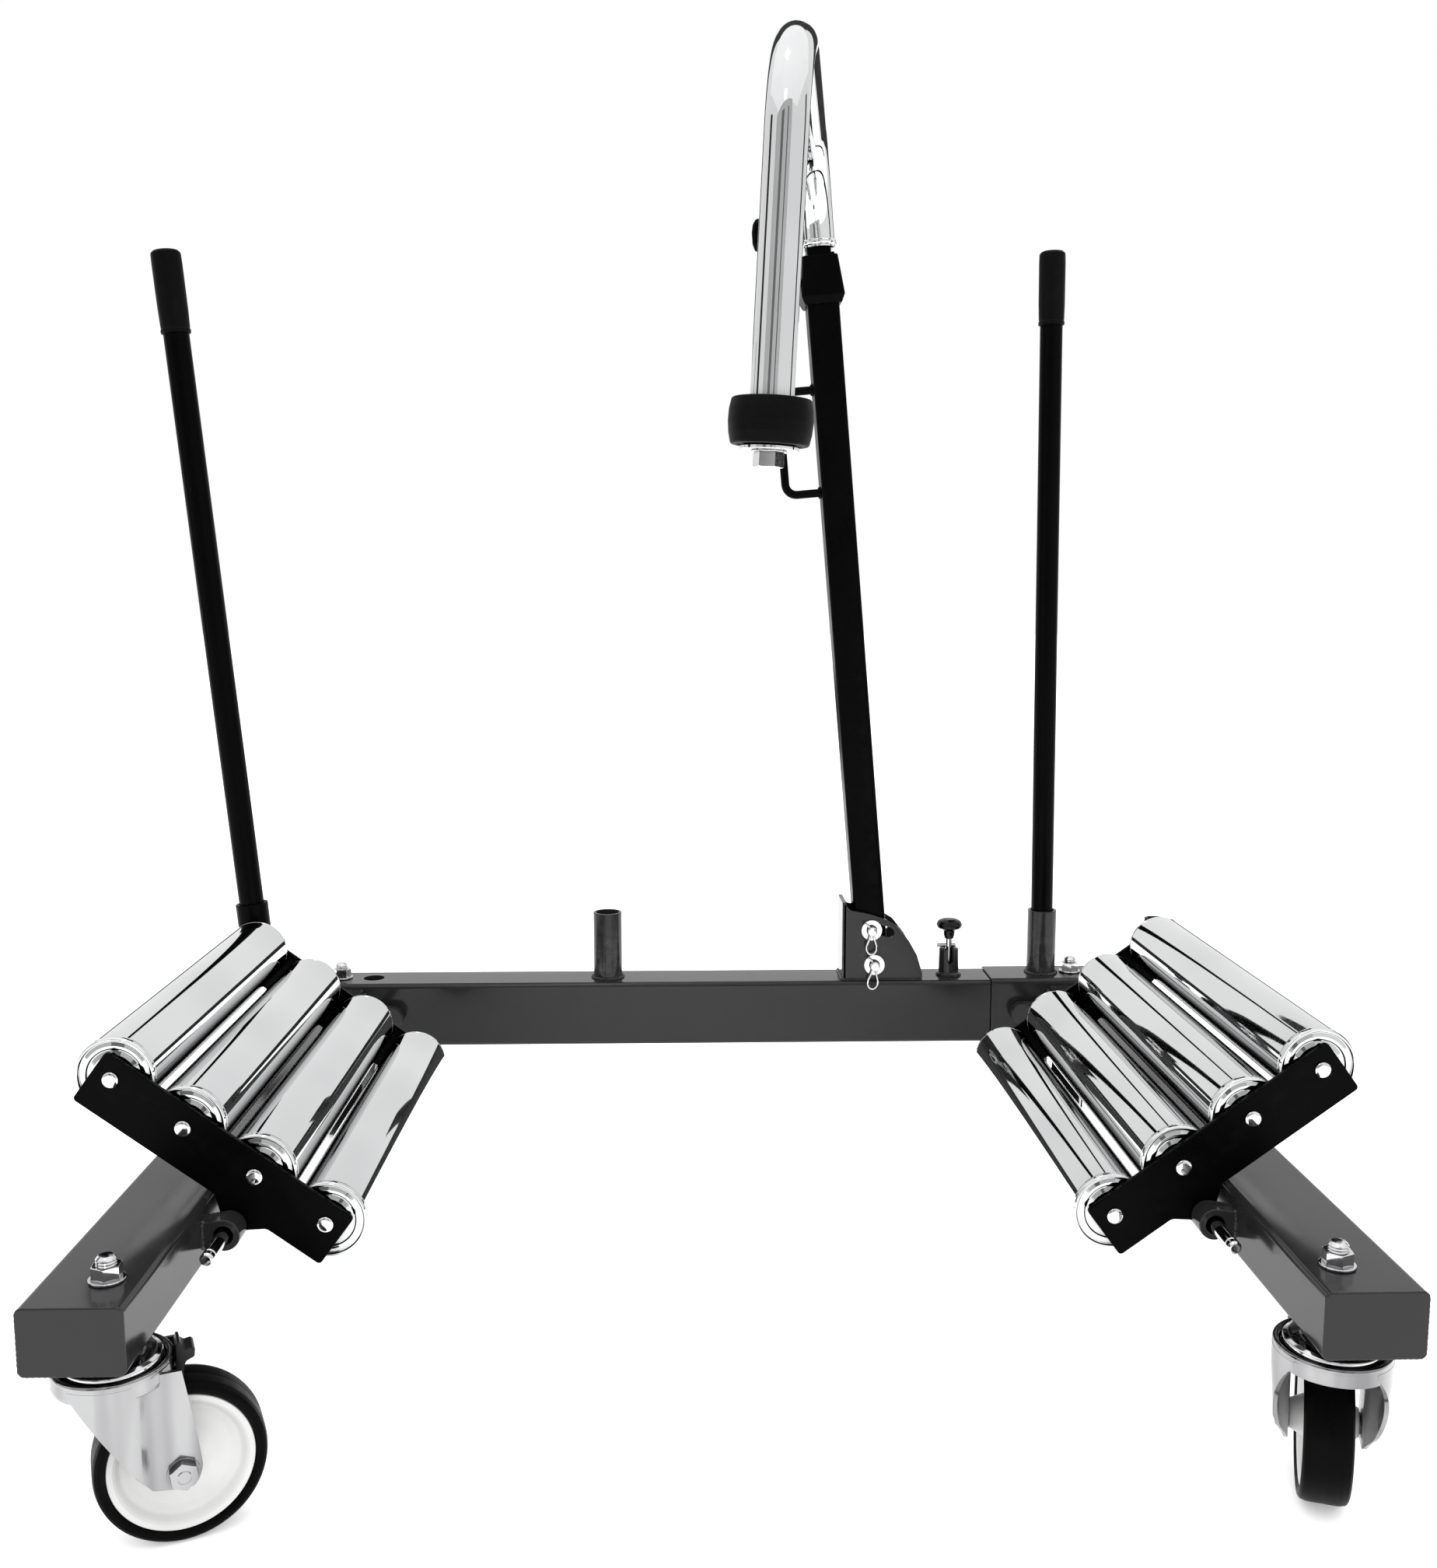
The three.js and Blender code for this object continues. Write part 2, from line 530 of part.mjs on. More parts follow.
function makeCollar() {
  const { from, shoulder, to, wide, narrow } = COLLAR;
  const outside = join(
    frustum(wide / 2 - 4, from, wide / 2, shoulder),
    frustum(wide / 2, shoulder - 0.01, narrow / 2, to),
    bar(new THREE.Vector3(19, 8, to - 10), new THREE.Vector3(19, 8, to + 8), 2.4, 8),
  );
  const mastFit = MAST.side / 2 + GAP;
  const innerFit = INNER.side / 2 + 0.4;
  return cut(
    outside,
    block(-mastFit, mastFit, -mastFit, mastFit, from - 5, MAST.top + GAP),
    cut(block(-innerFit, innerFit, -innerFit, innerFit, from - 5, to + 5), block(16, 40, -20, 20, 0, 2000)),
    bar(new THREE.Vector3(-40, 0, CLAMP.at), new THREE.Vector3(-10, 0, CLAMP.at), 5.4, 16),
  );
}

// The clamp lever's screw bears on the inner tube; its arm stands out to the left of the collar.
function makeClampLever() {
  const face = -COLLAR.wide / 2;
  const arm = new THREE.CatmullRomCurve3([
    new THREE.Vector3(face - 14, 0, CLAMP.at),
    new THREE.Vector3(face - 24, 0, CLAMP.at + 12),
    new THREE.Vector3(face - 36, 0, CLAMP.at + 34),
    new THREE.Vector3(face - 44, 0, CLAMP.at + 50),
  ]);
  const place = new THREE.Matrix4().makeTranslation(face - 46, 0, CLAMP.at + 62);
  place.multiply(new THREE.Matrix4().makeRotationY(0.12));
  const tip = turned([[0, -20], [4, -19], [7, -12], [8, 2], [7, 13], [4, 19], [0, 20.5]], 12, place);
  const at = (across) => new THREE.Vector3(across, 0, CLAMP.at);
  return join(
    bar(at(face - 20), at(face - GAP - 1), CLAMP.hub, 16),
    bar(at(face - 5), at(-MAST.side / 2 - 0.8), 5, 10),
    swept(arm, 5, 8, 6),
    tip,
  );
}

addPart("mast", makeMast(), BLACK_PAINT, mast);
addPart("mast_collar", makeCollar(), BLACK_PAINT, mast);
addPart("clamp_lever", makeClampLever(), BLACK_PAINT, mast);
addPart("inner_mast", squareTube(INNER.side, INNER.wall, 3, INNER.from, INNER.to), BLACK_PAINT, mast);

// ---- safety hook ----

const [baseX, baseZ] = mastPoint(0, INNER.to + HOOK.baseGap);
const hookBase = new THREE.Vector3(baseX, BAR_MID_Y, baseZ);

function makeHook() {
  const path = new BentPath([hookBase, HOOK.rise, HOOK.turn, HOOK.tip], HOOK.bend, 4);
  const tube = swept(path, HOOK.outer, HOOK.sides, path.steps, HOOK.outer - HOOK.wall);
  const up = HOOK.rise.clone().sub(hookBase).normalize();
  const cap = bar(hookBase, hookBase.clone().addScaledVector(up, 6), HOOK.outer + 1.5, 12);
  const down = HOOK.tip.clone().sub(HOOK.turn).normalize();
  const plug = bar(HOOK.tip.clone().addScaledVector(down, -5), HOOK.tip, HOOK.outer, HOOK.sides);
  const pastTip = (distance) => HOOK.tip.clone().addScaledVector(down, distance);
  const pastBase = (distance) => hookBase.clone().addScaledVector(up, distance);
  const boltHole = bar(pastTip(-30), pastTip(5), 8.4, 12);
  const drain = bar(pastBase(-3), pastBase(12), 4, 6);
  return cut(join(tube, cap, plug), boltHole, drain);
}

function alongTip(distance) {
  const down = HOOK.tip.clone().sub(HOOK.turn).normalize();
  return HOOK.tip.clone().addScaledVector(down, distance);
}

const tipFrame = () => {
  const down = HOOK.tip.clone().sub(HOOK.turn).normalize();
  const turn = new THREE.Quaternion().setFromUnitVectors(new THREE.Vector3(0, 0, 1), down);
  return new THREE.Matrix4().compose(HOOK.tip, turn, new THREE.Vector3(1, 1, 1));
};

function makeHookBolt() {
  const under = BUMPER.length + 1.2;
  return join(
    bar(alongTip(-22), alongTip(under + 8), 8, 12),
    bar(alongTip(-16), alongTip(-5.6), 13, 6),
    bar(alongTip(under), alongTip(under + 4), 29, 20),
    bar(alongTip(under + 3), alongTip(under + 20), 15.5, 6),
  );
}

function makeBumper() {
  const { radius, length, bore } = BUMPER;
  const top = 0.6;
  const end = top + length;
  const profile = [[bore, top], [radius - 12, top], [radius - 4, top + 3], [radius - 1, top + 12],
    [radius, top + 25], [radius - 1, end - 12], [radius - 4, end - 3], [radius - 9, end],
    [bore, end], [bore, top]];
  return turned(profile, 20, tipFrame());
}

addPart("hook_tube", makeHook(), CHROME);
addPart("hook_bolt", makeHookBolt(), ZINC);
addPart("hook_bumper", makeBumper(), RUBBER);

// ---- carriages ----

function carriagePlate(side, y0, y1) {
  const end = CARRIAGE.pitch * 1.5 + CARRIAGE.endPast;
  const { plateUp, plateDown, pivotU, pivotV, earRadius } = CARRIAGE;
  const corner = 4;
  const outline = [
    [-end, -plateDown + corner], [-end + corner, -plateDown], [pivotU - 26, -plateDown],
    [pivotU - earRadius + 1, pivotV + 1], [pivotU - 10, pivotV - 9.5], [pivotU, pivotV - earRadius],
    [pivotU + 10, pivotV - 9.5], [pivotU + earRadius - 1, pivotV + 1], [pivotU + 26, -plateDown],
    [end - corner, -plateDown], [end, -plateDown + corner], [end, plateUp - corner],
    [end - corner, plateUp], [-end + corner, plateUp], [-end, plateUp - corner],
  ].map(([u, v]) => carriagePoint(side, u, v));
  return slabY(side < 0 ? outline : outline.reverse(), y0, y1);
}

const leanAlong = (lean, length) => new THREE.Vector3(Math.sin(lean) * length, 0, Math.cos(lean) * length);

function makeCarriage(side) {
  const { frontY, rearY, plate, pivotTube } = CARRIAGE;
  const pivot = pivotOf(side);
  const socketFoot = new THREE.Vector3(side * -LEFT_LEVER.x, LEFT_LEVER.y, LEFT_LEVER.z);
  const up = leanAlong(side * LEFT_LEVER.lean, 1);
  const below = socketFoot.clone().addScaledVector(up, -8);
  const mouth = socketFoot.clone().addScaledVector(up, side < 0 ? SOCKET.tall : SOCKET.short);
  const [endX, endZ] = carriagePoint(side, -CARRIAGE.pitch * 1.5 - 2, -9);
  const weldSpan = [endX + side, endX + side * 14].sort((a, b) => a - b);
  const body = join(
    carriagePlate(side, frontY, frontY + plate),
    carriagePlate(side, rearY - plate, rearY),
    barY(pivot.x, pivot.z, frontY + 1, rearY - 1, pivotTube, 14),
    bar(below, mouth, SOCKET.outer, 18),
    block(...weldSpan, rearY - 1, rearY + 14, endZ - 12, endZ + 12),
  );
  const tools = [
    barY(pivot.x, pivot.z, frontY - 5, rearY + 5, PIVOT_BORE, 12),
    bar(socketFoot, mouth.clone().addScaledVector(up, 5), SOCKET.bore, 16),
    bar(below.clone().addScaledVector(up, -5), mouth, 5, 8),
  ];
  for (let i = 0; i < 4; i++) {
    const [x, z] = carriagePoint(side, (i - 1.5) * CARRIAGE.pitch, 0);
    tools.push(barY(x, z, frontY - 5, rearY + 5, ROLLER.axle + GAP + 0.2, 10));
  }
  return cut(body, ...tools);
}

function makeRollerAxle(x, z) {
  const { frontY, rearY } = CARRIAGE;
  return join(
    barY(x, z, frontY - 2.6, rearY + 2.6, ROLLER.axle, 10),
    barY(x, z, frontY - 3, frontY - GAP, ROLLER.head, 12),
    barY(x, z, rearY + GAP, rearY + 3, ROLLER.head, 12),
  );
}

function makeRoller(x, z) {
  const { radius, bore, frontY, rearY } = ROLLER;
  const length = rearY - frontY;
  const profile = [[bore, 0], [radius, 0], [radius, length], [bore, length], [bore, length - 6],
    [radius - 2.6, length - 6], [radius - 2.6, 6], [bore, 6], [bore, 0]];
  const lay = new THREE.Matrix4().makeTranslation(x, rearY, z);
  lay.multiply(new THREE.Matrix4().makeRotationX(Math.PI / 2));
  return turned(profile, 18, lay);
}

const SIDES = [["left", -1], ["right", 1]];
for (const [label, side] of SIDES) {
  const pivot = pivotOf(side);
  const rod = barY(pivot.x, pivot.z, PIVOT_ROD.frontY, PIVOT_ROD.rearY, PIVOT_ROD.radius, 16);
  addPart(label + "_pivot_rod", rod, ZINC);
  addPart(label + "_carriage", makeCarriage(side), BLACK_PAINT);
  for (let i = 0; i < 4; i++) {
    const [x, z] = carriagePoint(side, (i - 1.5) * CARRIAGE.pitch, 0);
    addPart(label + "_axle_" + (i + 1), makeRollerAxle(x, z), ZINC);
    addPart(label + "_roller_" + (i + 1), makeRoller(x, z), CHROME);
  }
}

// ---- levers ----

function makeLever(foot, lean, length) {
  const top = foot.clone().add(leanAlong(lean, length));
  const past = leanAlong(lean, 5);
  const bore = bar(foot.clone().sub(past), top.clone().add(past), LEVER.bore, 14);
  return cut(bar(foot, top, LEVER.outer, 18), bore);
}

function makeGrip(foot, lean, length) {
  const { grip, gripLength, outer } = LEVER;
  const place = new THREE.Matrix4().makeTranslation(...foot.toArray());
  place.multiply(new THREE.Matrix4().makeRotationY(lean));
  const low = length - gripLength + 4;
  const fit = outer + GAP;
  const profile = [[fit, low], [grip - 0.8, low], [grip - 0.4, low + 5], [grip, low + 8],
    [grip, length + 1], [grip - 2.5, length + 5], [0, length + 6], [0, length + GAP],
    [fit, length + GAP], [fit, low]];
  return turned(profile, 18, place);
}

const leftFoot = new THREE.Vector3(LEFT_LEVER.x, LEFT_LEVER.y, LEFT_LEVER.z);
leftFoot.add(leanAlong(-LEFT_LEVER.lean, GAP));
addPart("left_lever", makeLever(leftFoot, -LEFT_LEVER.lean, LEFT_LEVER.length), BLACK_PAINT);
addPart("left_grip", makeGrip(leftFoot, -LEFT_LEVER.lean, LEFT_LEVER.length), RUBBER);

const rightFoot = new THREE.Vector3(STORAGE.rightX + 0.6, BAR_MID_Y, RIGHT_LEVER.z);
addPart("right_lever", makeLever(rightFoot, -RIGHT_LEVER.lean, RIGHT_LEVER.length), BLACK_PAINT);
addPart("right_grip", makeGrip(rightFoot, -RIGHT_LEVER.lean, RIGHT_LEVER.length), RUBBER);

// ---- casters: built trailing along +X with the mounting face at z = 0, then turned and placed ----

const AXLE_Z = FLOOR_Z + WHEEL.radius - CASTER_SEAT_Z;

function makeCasterHead(grip) {
  const { plate, stud, washer, nut } = HEAD;
  const profile = [[0, -GAP], [20, -GAP], [20, -4], [plate, -6], [plate, -11.5], [0, -11.5]];
  const thread = barZ(0, 0, -3, grip + 24, stud, 10);
  const seat = barZ(0, 0, grip + GAP, grip + 3, washer, 14);
  const hex = barZ(0, 0, grip + 2.5, grip + 15, nut, 6);
  return join(turned(profile, 16), thread, seat, hex);
}

// Each leg is a pressed side: flat at the axle and flared outwards towards the leading edge.
const FORK_SIDE = [[-33, -14], [48, -14], [56.5, -62], [60.5, -92], [58, -103], [50, -110.5],
  [23, -106], [-33, -18]];
const FORK_OUTER = [[-42, 20], [-33, 30.5], [-20, 39], [0, 42], [12, 40], [27, 31], [64, 31]];
const FORK_INNER = [[64, 27.5], [25.5, 27.5], [11, 36.3], [0, 38.3], [-18, 35.6], [-30, 28], [-39, 17]];

function makeFork() {
  const { ring } = HEAD;
  const crownProfile = [[0, -12], [HEAD.plate + 1, -12], [ring - 1, -8.5], [ring, -11], [ring, -20],
    [ring - 3, -24], [0, -24]];
  const crown = turned(crownProfile, 16);
  const silhouette = slabY(FORK_SIDE, -60, 60);
  const leg = (sign) => {
    const plan = [...FORK_OUTER, ...FORK_INNER].map(([x, y]) => new THREE.Vector2(x, sign * y));
    const shape = new THREE.Shape(sign > 0 ? plan.reverse() : plan);
    const geometry = new THREE.ExtrudeGeometry(shape, { depth: 120, bevelEnabled: false });
    geometry.translate(0, 0, -118);
    return toSolid(geometry).intersect(silhouette);
  };
  const web = slabY([[-34, -15], [42, -15], [42, -20], [30, -24], [-34, -26]], -30, 30);
  const axle = join(
    barY(WHEEL.trail, AXLE_Z, -37, 39, 6, 12),
    barY(WHEEL.trail, AXLE_Z, -38, -28.5, 11.4, 6),
    barY(WHEEL.trail, AXLE_Z, 30, 36.5, 11.4, 6),
  );
  return join(crown, leg(1), leg(-1), web, axle);
}

// The wheel's flats are turned so that one of them lies on the floor.
function wheelFrame() {
  const lay = new THREE.Matrix4().makeRotationX(Math.PI / 2);
  const spin = new THREE.Matrix4().makeRotationZ(Math.PI / WHEEL.sides);
  return new THREE.Matrix4().makeTranslation(WHEEL.trail, 0, AXLE_Z).multiply(lay).multiply(spin);
}

const TREAD_INNER = 55.6;

function makeTread() {
  const outer = WHEEL.radius / Math.cos(Math.PI / WHEEL.sides);
  const half = WHEEL.width / 2;
  const profile = [[TREAD_INNER, -half], [outer, -half], [outer, half], [TREAD_INNER, half],
    [TREAD_INNER, -half]];
  return turned(profile, WHEEL.sides, wheelFrame());
}

function makeHub() {
  const rim = TREAD_INNER - 0.4;
  const half = WHEEL.width / 2 - 2;
  const profile = [[6.4, -26.8], [12, -26.8], [24, -11], [rim, -half], [rim, half], [24, 11],
    [12, 26.8], [6.4, 26.8], [6.4, -26.8]];
  return turned(profile, WHEEL.sides, wheelFrame());
}

function makePedal() {
  const outline = [[46, -25], [45.6, -12], [45.8, -5], [47, -1.6], [49, -1.6], [50.2, -6],
    [53, -8.5], [58, -7.5], [60, -9.5], [59.4, -15.5], [53.4, -18], [51.2, -22],
    [50.6, -30.4], [46.6, -30.4]];
  return slabY(outline.reverse(), -10, 10);
}

// The mounting stud and nut clamp a tube of the given depth.
function addCaster(label, x, y, heading, clampDepth, braked) {
  const caster = new THREE.Group();
  caster.position.set(x, y, CASTER_SEAT_Z);
  caster.rotation.z = heading;
  dolly.add(caster);
  addPart(label + "_head", makeCasterHead(clampDepth), ZINC, caster);
  addPart(label + "_fork", makeFork(), ZINC, caster);
  addPart(label + "_hub", makeHub(), WHITE_NYLON, caster);
  addPart(label + "_tread", makeTread(), TREAD, caster);
  if (braked) addPart(label + "_pedal", makePedal(), PEDAL_PLASTIC, caster);
}

const degrees = THREE.MathUtils.degToRad;
addCaster("caster_fl", -CASTER_X.front, CASTER_Y.front, degrees(22.5), LEG.height, true);
addCaster("caster_fr", CASTER_X.front, CASTER_Y.front, degrees(70.5), LEG.height, true);
addCaster("caster_rl", -CASTER_X.rear, CASTER_Y.rear, degrees(115), BAR.topZ - CASTER_SEAT_Z, false);
const sleeveDepth = BAR.topZ + SLEEVE_GROW - CASTER_SEAT_Z;
addCaster("caster_rr", CASTER_X.rear, CASTER_Y.rear, degrees(72), sleeveDepth, false);

// ---- the origin stands on the floor, under the middle of the whole ----

dolly.updateMatrixWorld(true);
const extent = new THREE.Box3().setFromObject(dolly, true);
const middle = extent.getCenter(new THREE.Vector3());
dolly.position.set(-middle.x, -middle.y, -extent.min.z);

export default dolly;
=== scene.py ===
"""Wheel dolly: detailed meshes, materials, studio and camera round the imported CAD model.

Lengths in the modelling part are millimetres in the design frame, whose origin is 11 mm above the floor at
the front ends of the legs; TO_ROW turns them into the row frame in metres.
"""
import json
import math
import random

import bmesh
import bpy
from mathutils import Matrix, Vector


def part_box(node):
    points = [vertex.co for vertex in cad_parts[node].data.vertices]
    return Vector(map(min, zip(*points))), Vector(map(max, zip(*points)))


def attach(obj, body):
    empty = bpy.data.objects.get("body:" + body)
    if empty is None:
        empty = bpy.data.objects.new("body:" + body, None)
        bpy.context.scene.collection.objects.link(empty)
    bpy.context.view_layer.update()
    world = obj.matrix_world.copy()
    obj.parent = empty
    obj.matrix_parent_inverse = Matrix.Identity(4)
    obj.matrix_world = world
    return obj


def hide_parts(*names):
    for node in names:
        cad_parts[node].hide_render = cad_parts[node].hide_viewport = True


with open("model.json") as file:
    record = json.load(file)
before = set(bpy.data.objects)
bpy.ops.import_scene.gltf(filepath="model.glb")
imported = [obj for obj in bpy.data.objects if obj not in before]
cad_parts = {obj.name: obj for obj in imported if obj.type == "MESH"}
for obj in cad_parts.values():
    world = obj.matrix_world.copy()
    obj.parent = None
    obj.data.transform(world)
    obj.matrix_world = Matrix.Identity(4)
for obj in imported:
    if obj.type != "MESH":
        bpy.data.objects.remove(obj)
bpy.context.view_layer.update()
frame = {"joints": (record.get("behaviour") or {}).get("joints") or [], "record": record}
RECORD = frame["record"]
JOINTS = {joint["name"]: joint for joint in frame["joints"]}
BODY_OF = {node: body for body, nodes in RECORD["behaviour"]["bodies"].items() for node in nodes}
SLOT_OF = {row["node"]: row["material_slot"] for row in RECORD["subparts"]}
RNG = random.Random(7)

MM = 0.001
ORIGIN = Vector(JOINTS["caster_fl_turn"]["pos_m"]) - Vector((-473, 45, 150)) * MM
TO_ROW = Matrix.Translation(ORIGIN) @ Matrix.Scale(MM, 4)
IDENTITY = Matrix.Identity(4)


def design_point(joint):
    """The joint's point in millimetres in the design frame."""
    return (Vector(JOINTS[joint]["pos_m"]) - ORIGIN) / MM


# ---- driving dimensions, as in the CAD model ----

FLOOR = -11
LEG_TOP = 205
SEAT = 151
LEG = {"width": 80, "height": 54, "inner": 445, "outer": 525}
BAR = {"front": 865, "rear": 933, "low": 131, "top": 214, "mid": 899, "relief": 418, "seam": 370.6}
TILT = math.radians(36.4)
MAST_LEAN = math.radians(5)
MAST_PIN = Vector((217.3, 899, 235))
ROLLER_Y = (214.5, 667.5)
PLATE_Y = (207, 675)


# ---- mesh kit ----

def fillet(points, radius=0.0, steps=4, closed=False):
    """A polyline with rounded corners. A point may carry its own radius as its third number."""
    rounded = []
    for i, point in enumerate(points):
        here = Vector(point[:2])
        r = point[2] if len(point) > 2 else radius
        if r <= 0 or (not closed and i in (0, len(points) - 1)):
            rounded.append(here)
            continue
        to_before = Vector(points[i - 1][:2]) - here
        to_after = Vector(points[(i + 1) % len(points)][:2]) - here
        angle = to_before.angle(to_after)
        if angle > math.pi - 1e-3:
            rounded.append(here)
            continue
        setback = min(r / math.tan(angle / 2), 0.48 * to_before.length, 0.48 * to_after.length)
        r = setback * math.tan(angle / 2)
        a, b = to_before.normalized(), to_after.normalized()
        centre = here + (a + b).normalized() * (r / math.sin(angle / 2))
        first, last = here + a * setback - centre, here + b * setback - centre
        start = math.atan2(first.y, first.x)
        turn = (math.atan2(last.y, last.x) - start + math.pi) % (2 * math.pi) - math.pi
        for k in range(steps + 1):
            t = start + turn * k / steps
            rounded.append(centre + Vector((math.cos(t), math.sin(t))) * r)
    return rounded


def rounded_rectangle(width, height, radius, centre=(0, 0), steps=5):
    x, y = width / 2, height / 2
    corners = fillet([(-x, -y), (x, -y), (x, y), (-x, y)], radius, steps, closed=True)
    return [corner + Vector(centre) for corner in corners]


def add_object(name, data):
    obj = bpy.data.objects.new(name, data)
    bpy.context.scene.collection.objects.link(obj)
    return obj


def from_bmesh(name, bm):
    mesh = bpy.data.meshes.new(name)
    bm.to_mesh(mesh)
    bm.free()
    return add_object(name, mesh)


def to_object(name, bm, place=IDENTITY):
    """A new object holding a bmesh that is in millimetres, put into the row frame."""
    bmesh.ops.recalc_face_normals(bm, faces=bm.faces)
    bm.transform(TO_ROW @ place)
    return from_bmesh(name, bm)


def lathe(profile, place=IDENTITY, segments=48, closed=False):
    """(radius, height) pairs turned about +Z. The profile starts and ends on the axis, or is closed."""
    bm = bmesh.new()
    rings = []
    for radius, height in profile:
        if radius < 1e-6:
            rings.append([bm.verts.new((0, 0, height))])
            continue
        angles = [2 * math.pi * i / segments for i in range(segments)]
        rings.append([bm.verts.new((radius * math.cos(t), radius * math.sin(t), height)) for t in angles])
    pairs = list(zip(rings, rings[1:]))
    if closed:
        pairs.append((rings[-1], rings[0]))
    for low, high in pairs:
        for i in range(segments):
            j = (i + 1) % segments
            corners = [low[i % len(low)], low[j % len(low)], high[j % len(high)], high[i % len(high)]]
            corners = list(dict.fromkeys(corners))
            if len(corners) > 2:
                bm.faces.new(corners)
    return to_object("lathe", bm, place)


PLANES = {
    "X": lambda a, b, depth: (depth, a, b),
    "Y": lambda a, b, depth: (a, depth, b),
    "Z": lambda a, b, depth: (a, b, depth),
}


def prism(outline, low, high, axis="Y", bevel=0.0, place=IDENTITY, segments=3):
    """An outline pushed along an axis, with its end edges rounded over."""
    bm = bmesh.new()
    ends = [[bm.verts.new(PLANES[axis](p[0], p[1], depth)) for p in outline] for depth in (low, high)]
    caps = [bm.faces.new(ends[0]), bm.faces.new(ends[1])]
    count = len(outline)
    for i in range(count):
        j = (i + 1) % count
        bm.faces.new((ends[0][i], ends[0][j], ends[1][j], ends[1][i]))
    bmesh.ops.recalc_face_normals(bm, faces=bm.faces)
    if bevel:
        rim = [edge for cap in caps for edge in cap.edges]
        bmesh.ops.bevel(bm, geom=rim, offset=bevel, segments=segments, profile=0.5, affect="EDGES",
                        clamp_overlap=True)
    return to_object("prism", bm, place)


def cuboid(x, y, z, bevel=0.8, place=IDENTITY):
    outline = rounded_rectangle(x[1] - x[0], z[1] - z[0], bevel, ((x[0] + x[1]) / 2, (z[0] + z[1]) / 2), 3)
    return prism(outline, y[0], y[1], "Y", bevel, place)


def loft(sections, place=IDENTITY):
    """Closed outlines of one point count, each with its height, joined and capped."""
    bm = bmesh.new()
    rings = [[bm.verts.new((p[0], p[1], height)) for p in outline] for outline, height in sections]
    for low, high in zip(rings, rings[1:]):
        for i in range(len(low)):
            j = (i + 1) % len(low)
            bm.faces.new((low[i], low[j], high[j], high[i]))
    bm.faces.new(rings[0])
    bm.faces.new(rings[-1])
    return to_object("loft", bm, place)


def sweep(points, radius, sides=16, closed=False, place=IDENTITY):
    """A round section along a line of points. radius is one number or one for each point."""
    points = [Vector(p) for p in points]
    count = len(points)
    radii = [radius] * count if isinstance(radius, (int, float)) else radius
    tangents = []
    for i in range(count):
        before = points[i - 1] if closed or i else points[0]
        after = points[(i + 1) % count] if closed or i < count - 1 else points[-1]
        tangents.append((after - before).normalized())
    side = tangents[0].orthogonal().normalized()
    sides_of_path = [side]
    for previous, current in zip(tangents, tangents[1:]):
        side = (previous.rotation_difference(current) @ side).normalized()
        side = (side - current * side.dot(current)).normalized()
        sides_of_path.append(side)
    twist = 0.0
    if closed:
        last = tangents[-1].rotation_difference(tangents[0]) @ sides_of_path[-1]
        across = tangents[0].cross(sides_of_path[0])
        twist = -math.atan2(last.dot(across), last.dot(sides_of_path[0]))
    bm = bmesh.new()
    rings = []
    for i in range(count):
        u = sides_of_path[i]
        v = tangents[i].cross(u)
        ring = []
        for k in range(sides):
            t = 2 * math.pi * k / sides + twist * i / count
            ring.append(bm.verts.new(points[i] + (u * math.cos(t) + v * math.sin(t)) * radii[i]))
        rings.append(ring)
    pairs = list(zip(rings, rings[1:]))
    if closed:
        pairs.append((rings[-1], rings[0]))
    for low, high in pairs:
        for k in range(sides):
            j = (k + 1) % sides
            bm.faces.new((low[k], low[j], high[j], high[k]))
    if not closed:
        bm.faces.new(rings[0])
        bm.faces.new(rings[-1])
    return to_object("sweep", bm, place)


def bent(corners, radius, steps=10):
    """A 3-D polyline with its inner corners rounded."""
    corners = [Vector(c) for c in corners]
    points = [corners[0]]
    for before, here, after in zip(corners, corners[1:], corners[2:]):
        a, b = (here - before).normalized(), (after - here).normalized()
        sweep_angle = a.angle(b)
        axis = a.cross(b).normalized()
        inward = axis.cross(a)
        start = here - a * radius * math.tan(sweep_angle / 2)
        centre = start + inward * radius
        for k in range(steps + 1):
            turn = Matrix.Rotation(sweep_angle * k / steps, 3, axis)
            points.append(centre + turn @ (inward * -radius))
    points.append(corners[-1])
    return points


def circle_points(centre, radius, axis, count):
    axis = Vector(axis).normalized()
    u = axis.orthogonal().normalized()
    v = axis.cross(u)
    angles = [2 * math.pi * k / count for k in range(count)]
    return [Vector(centre) + (u * math.cos(t) + v * math.sin(t)) * radius for t in angles]


def bead(points, radius, closed=False, place=IDENTITY):
    """A weld bead: a rope of small ripples along a line."""
    points = [Vector(p) for p in points]
    dense = []
    ends = points[1:] + points[:1] if closed else points[1:]
    for start, end in zip(points, ends):
        count = max(1, round((end - start).length / 1.3))
        dense += [start.lerp(end, k / count) for k in range(count)]
    if not closed:
        dense.append(points[-1])
    radii = [radius * (0.9 + 0.12 * math.sin(i * 1.9) + RNG.uniform(-0.07, 0.07)) for i in range(len(dense))]
    if not closed:
        radii[0] = radii[-1] = radius * 0.4
    return sweep(dense, radii, 8, closed, place)


def bake(obj):
    """Applies the object's modifiers to its mesh."""
    depsgraph = bpy.context.evaluated_depsgraph_get()
    made = bpy.data.meshes.new_from_object(obj.evaluated_get(depsgraph))
    obj.modifiers.clear()
    old = obj.data
    obj.data = made
    bpy.data.meshes.remove(old)
    return obj


def boolean(obj, tool, operation):
    modifier = obj.modifiers.new("boolean", "BOOLEAN")
    modifier.operation = operation
    modifier.solver = "EXACT"
    modifier.object = tool
    bake(obj)
    discard(tool)
    return obj


def cut(obj, *tools):
    for tool in tools:
        boolean(obj, tool, "DIFFERENCE")
    return obj


def discard(obj):
    mesh = obj.data
    bpy.data.objects.remove(obj)
    bpy.data.meshes.remove(mesh)


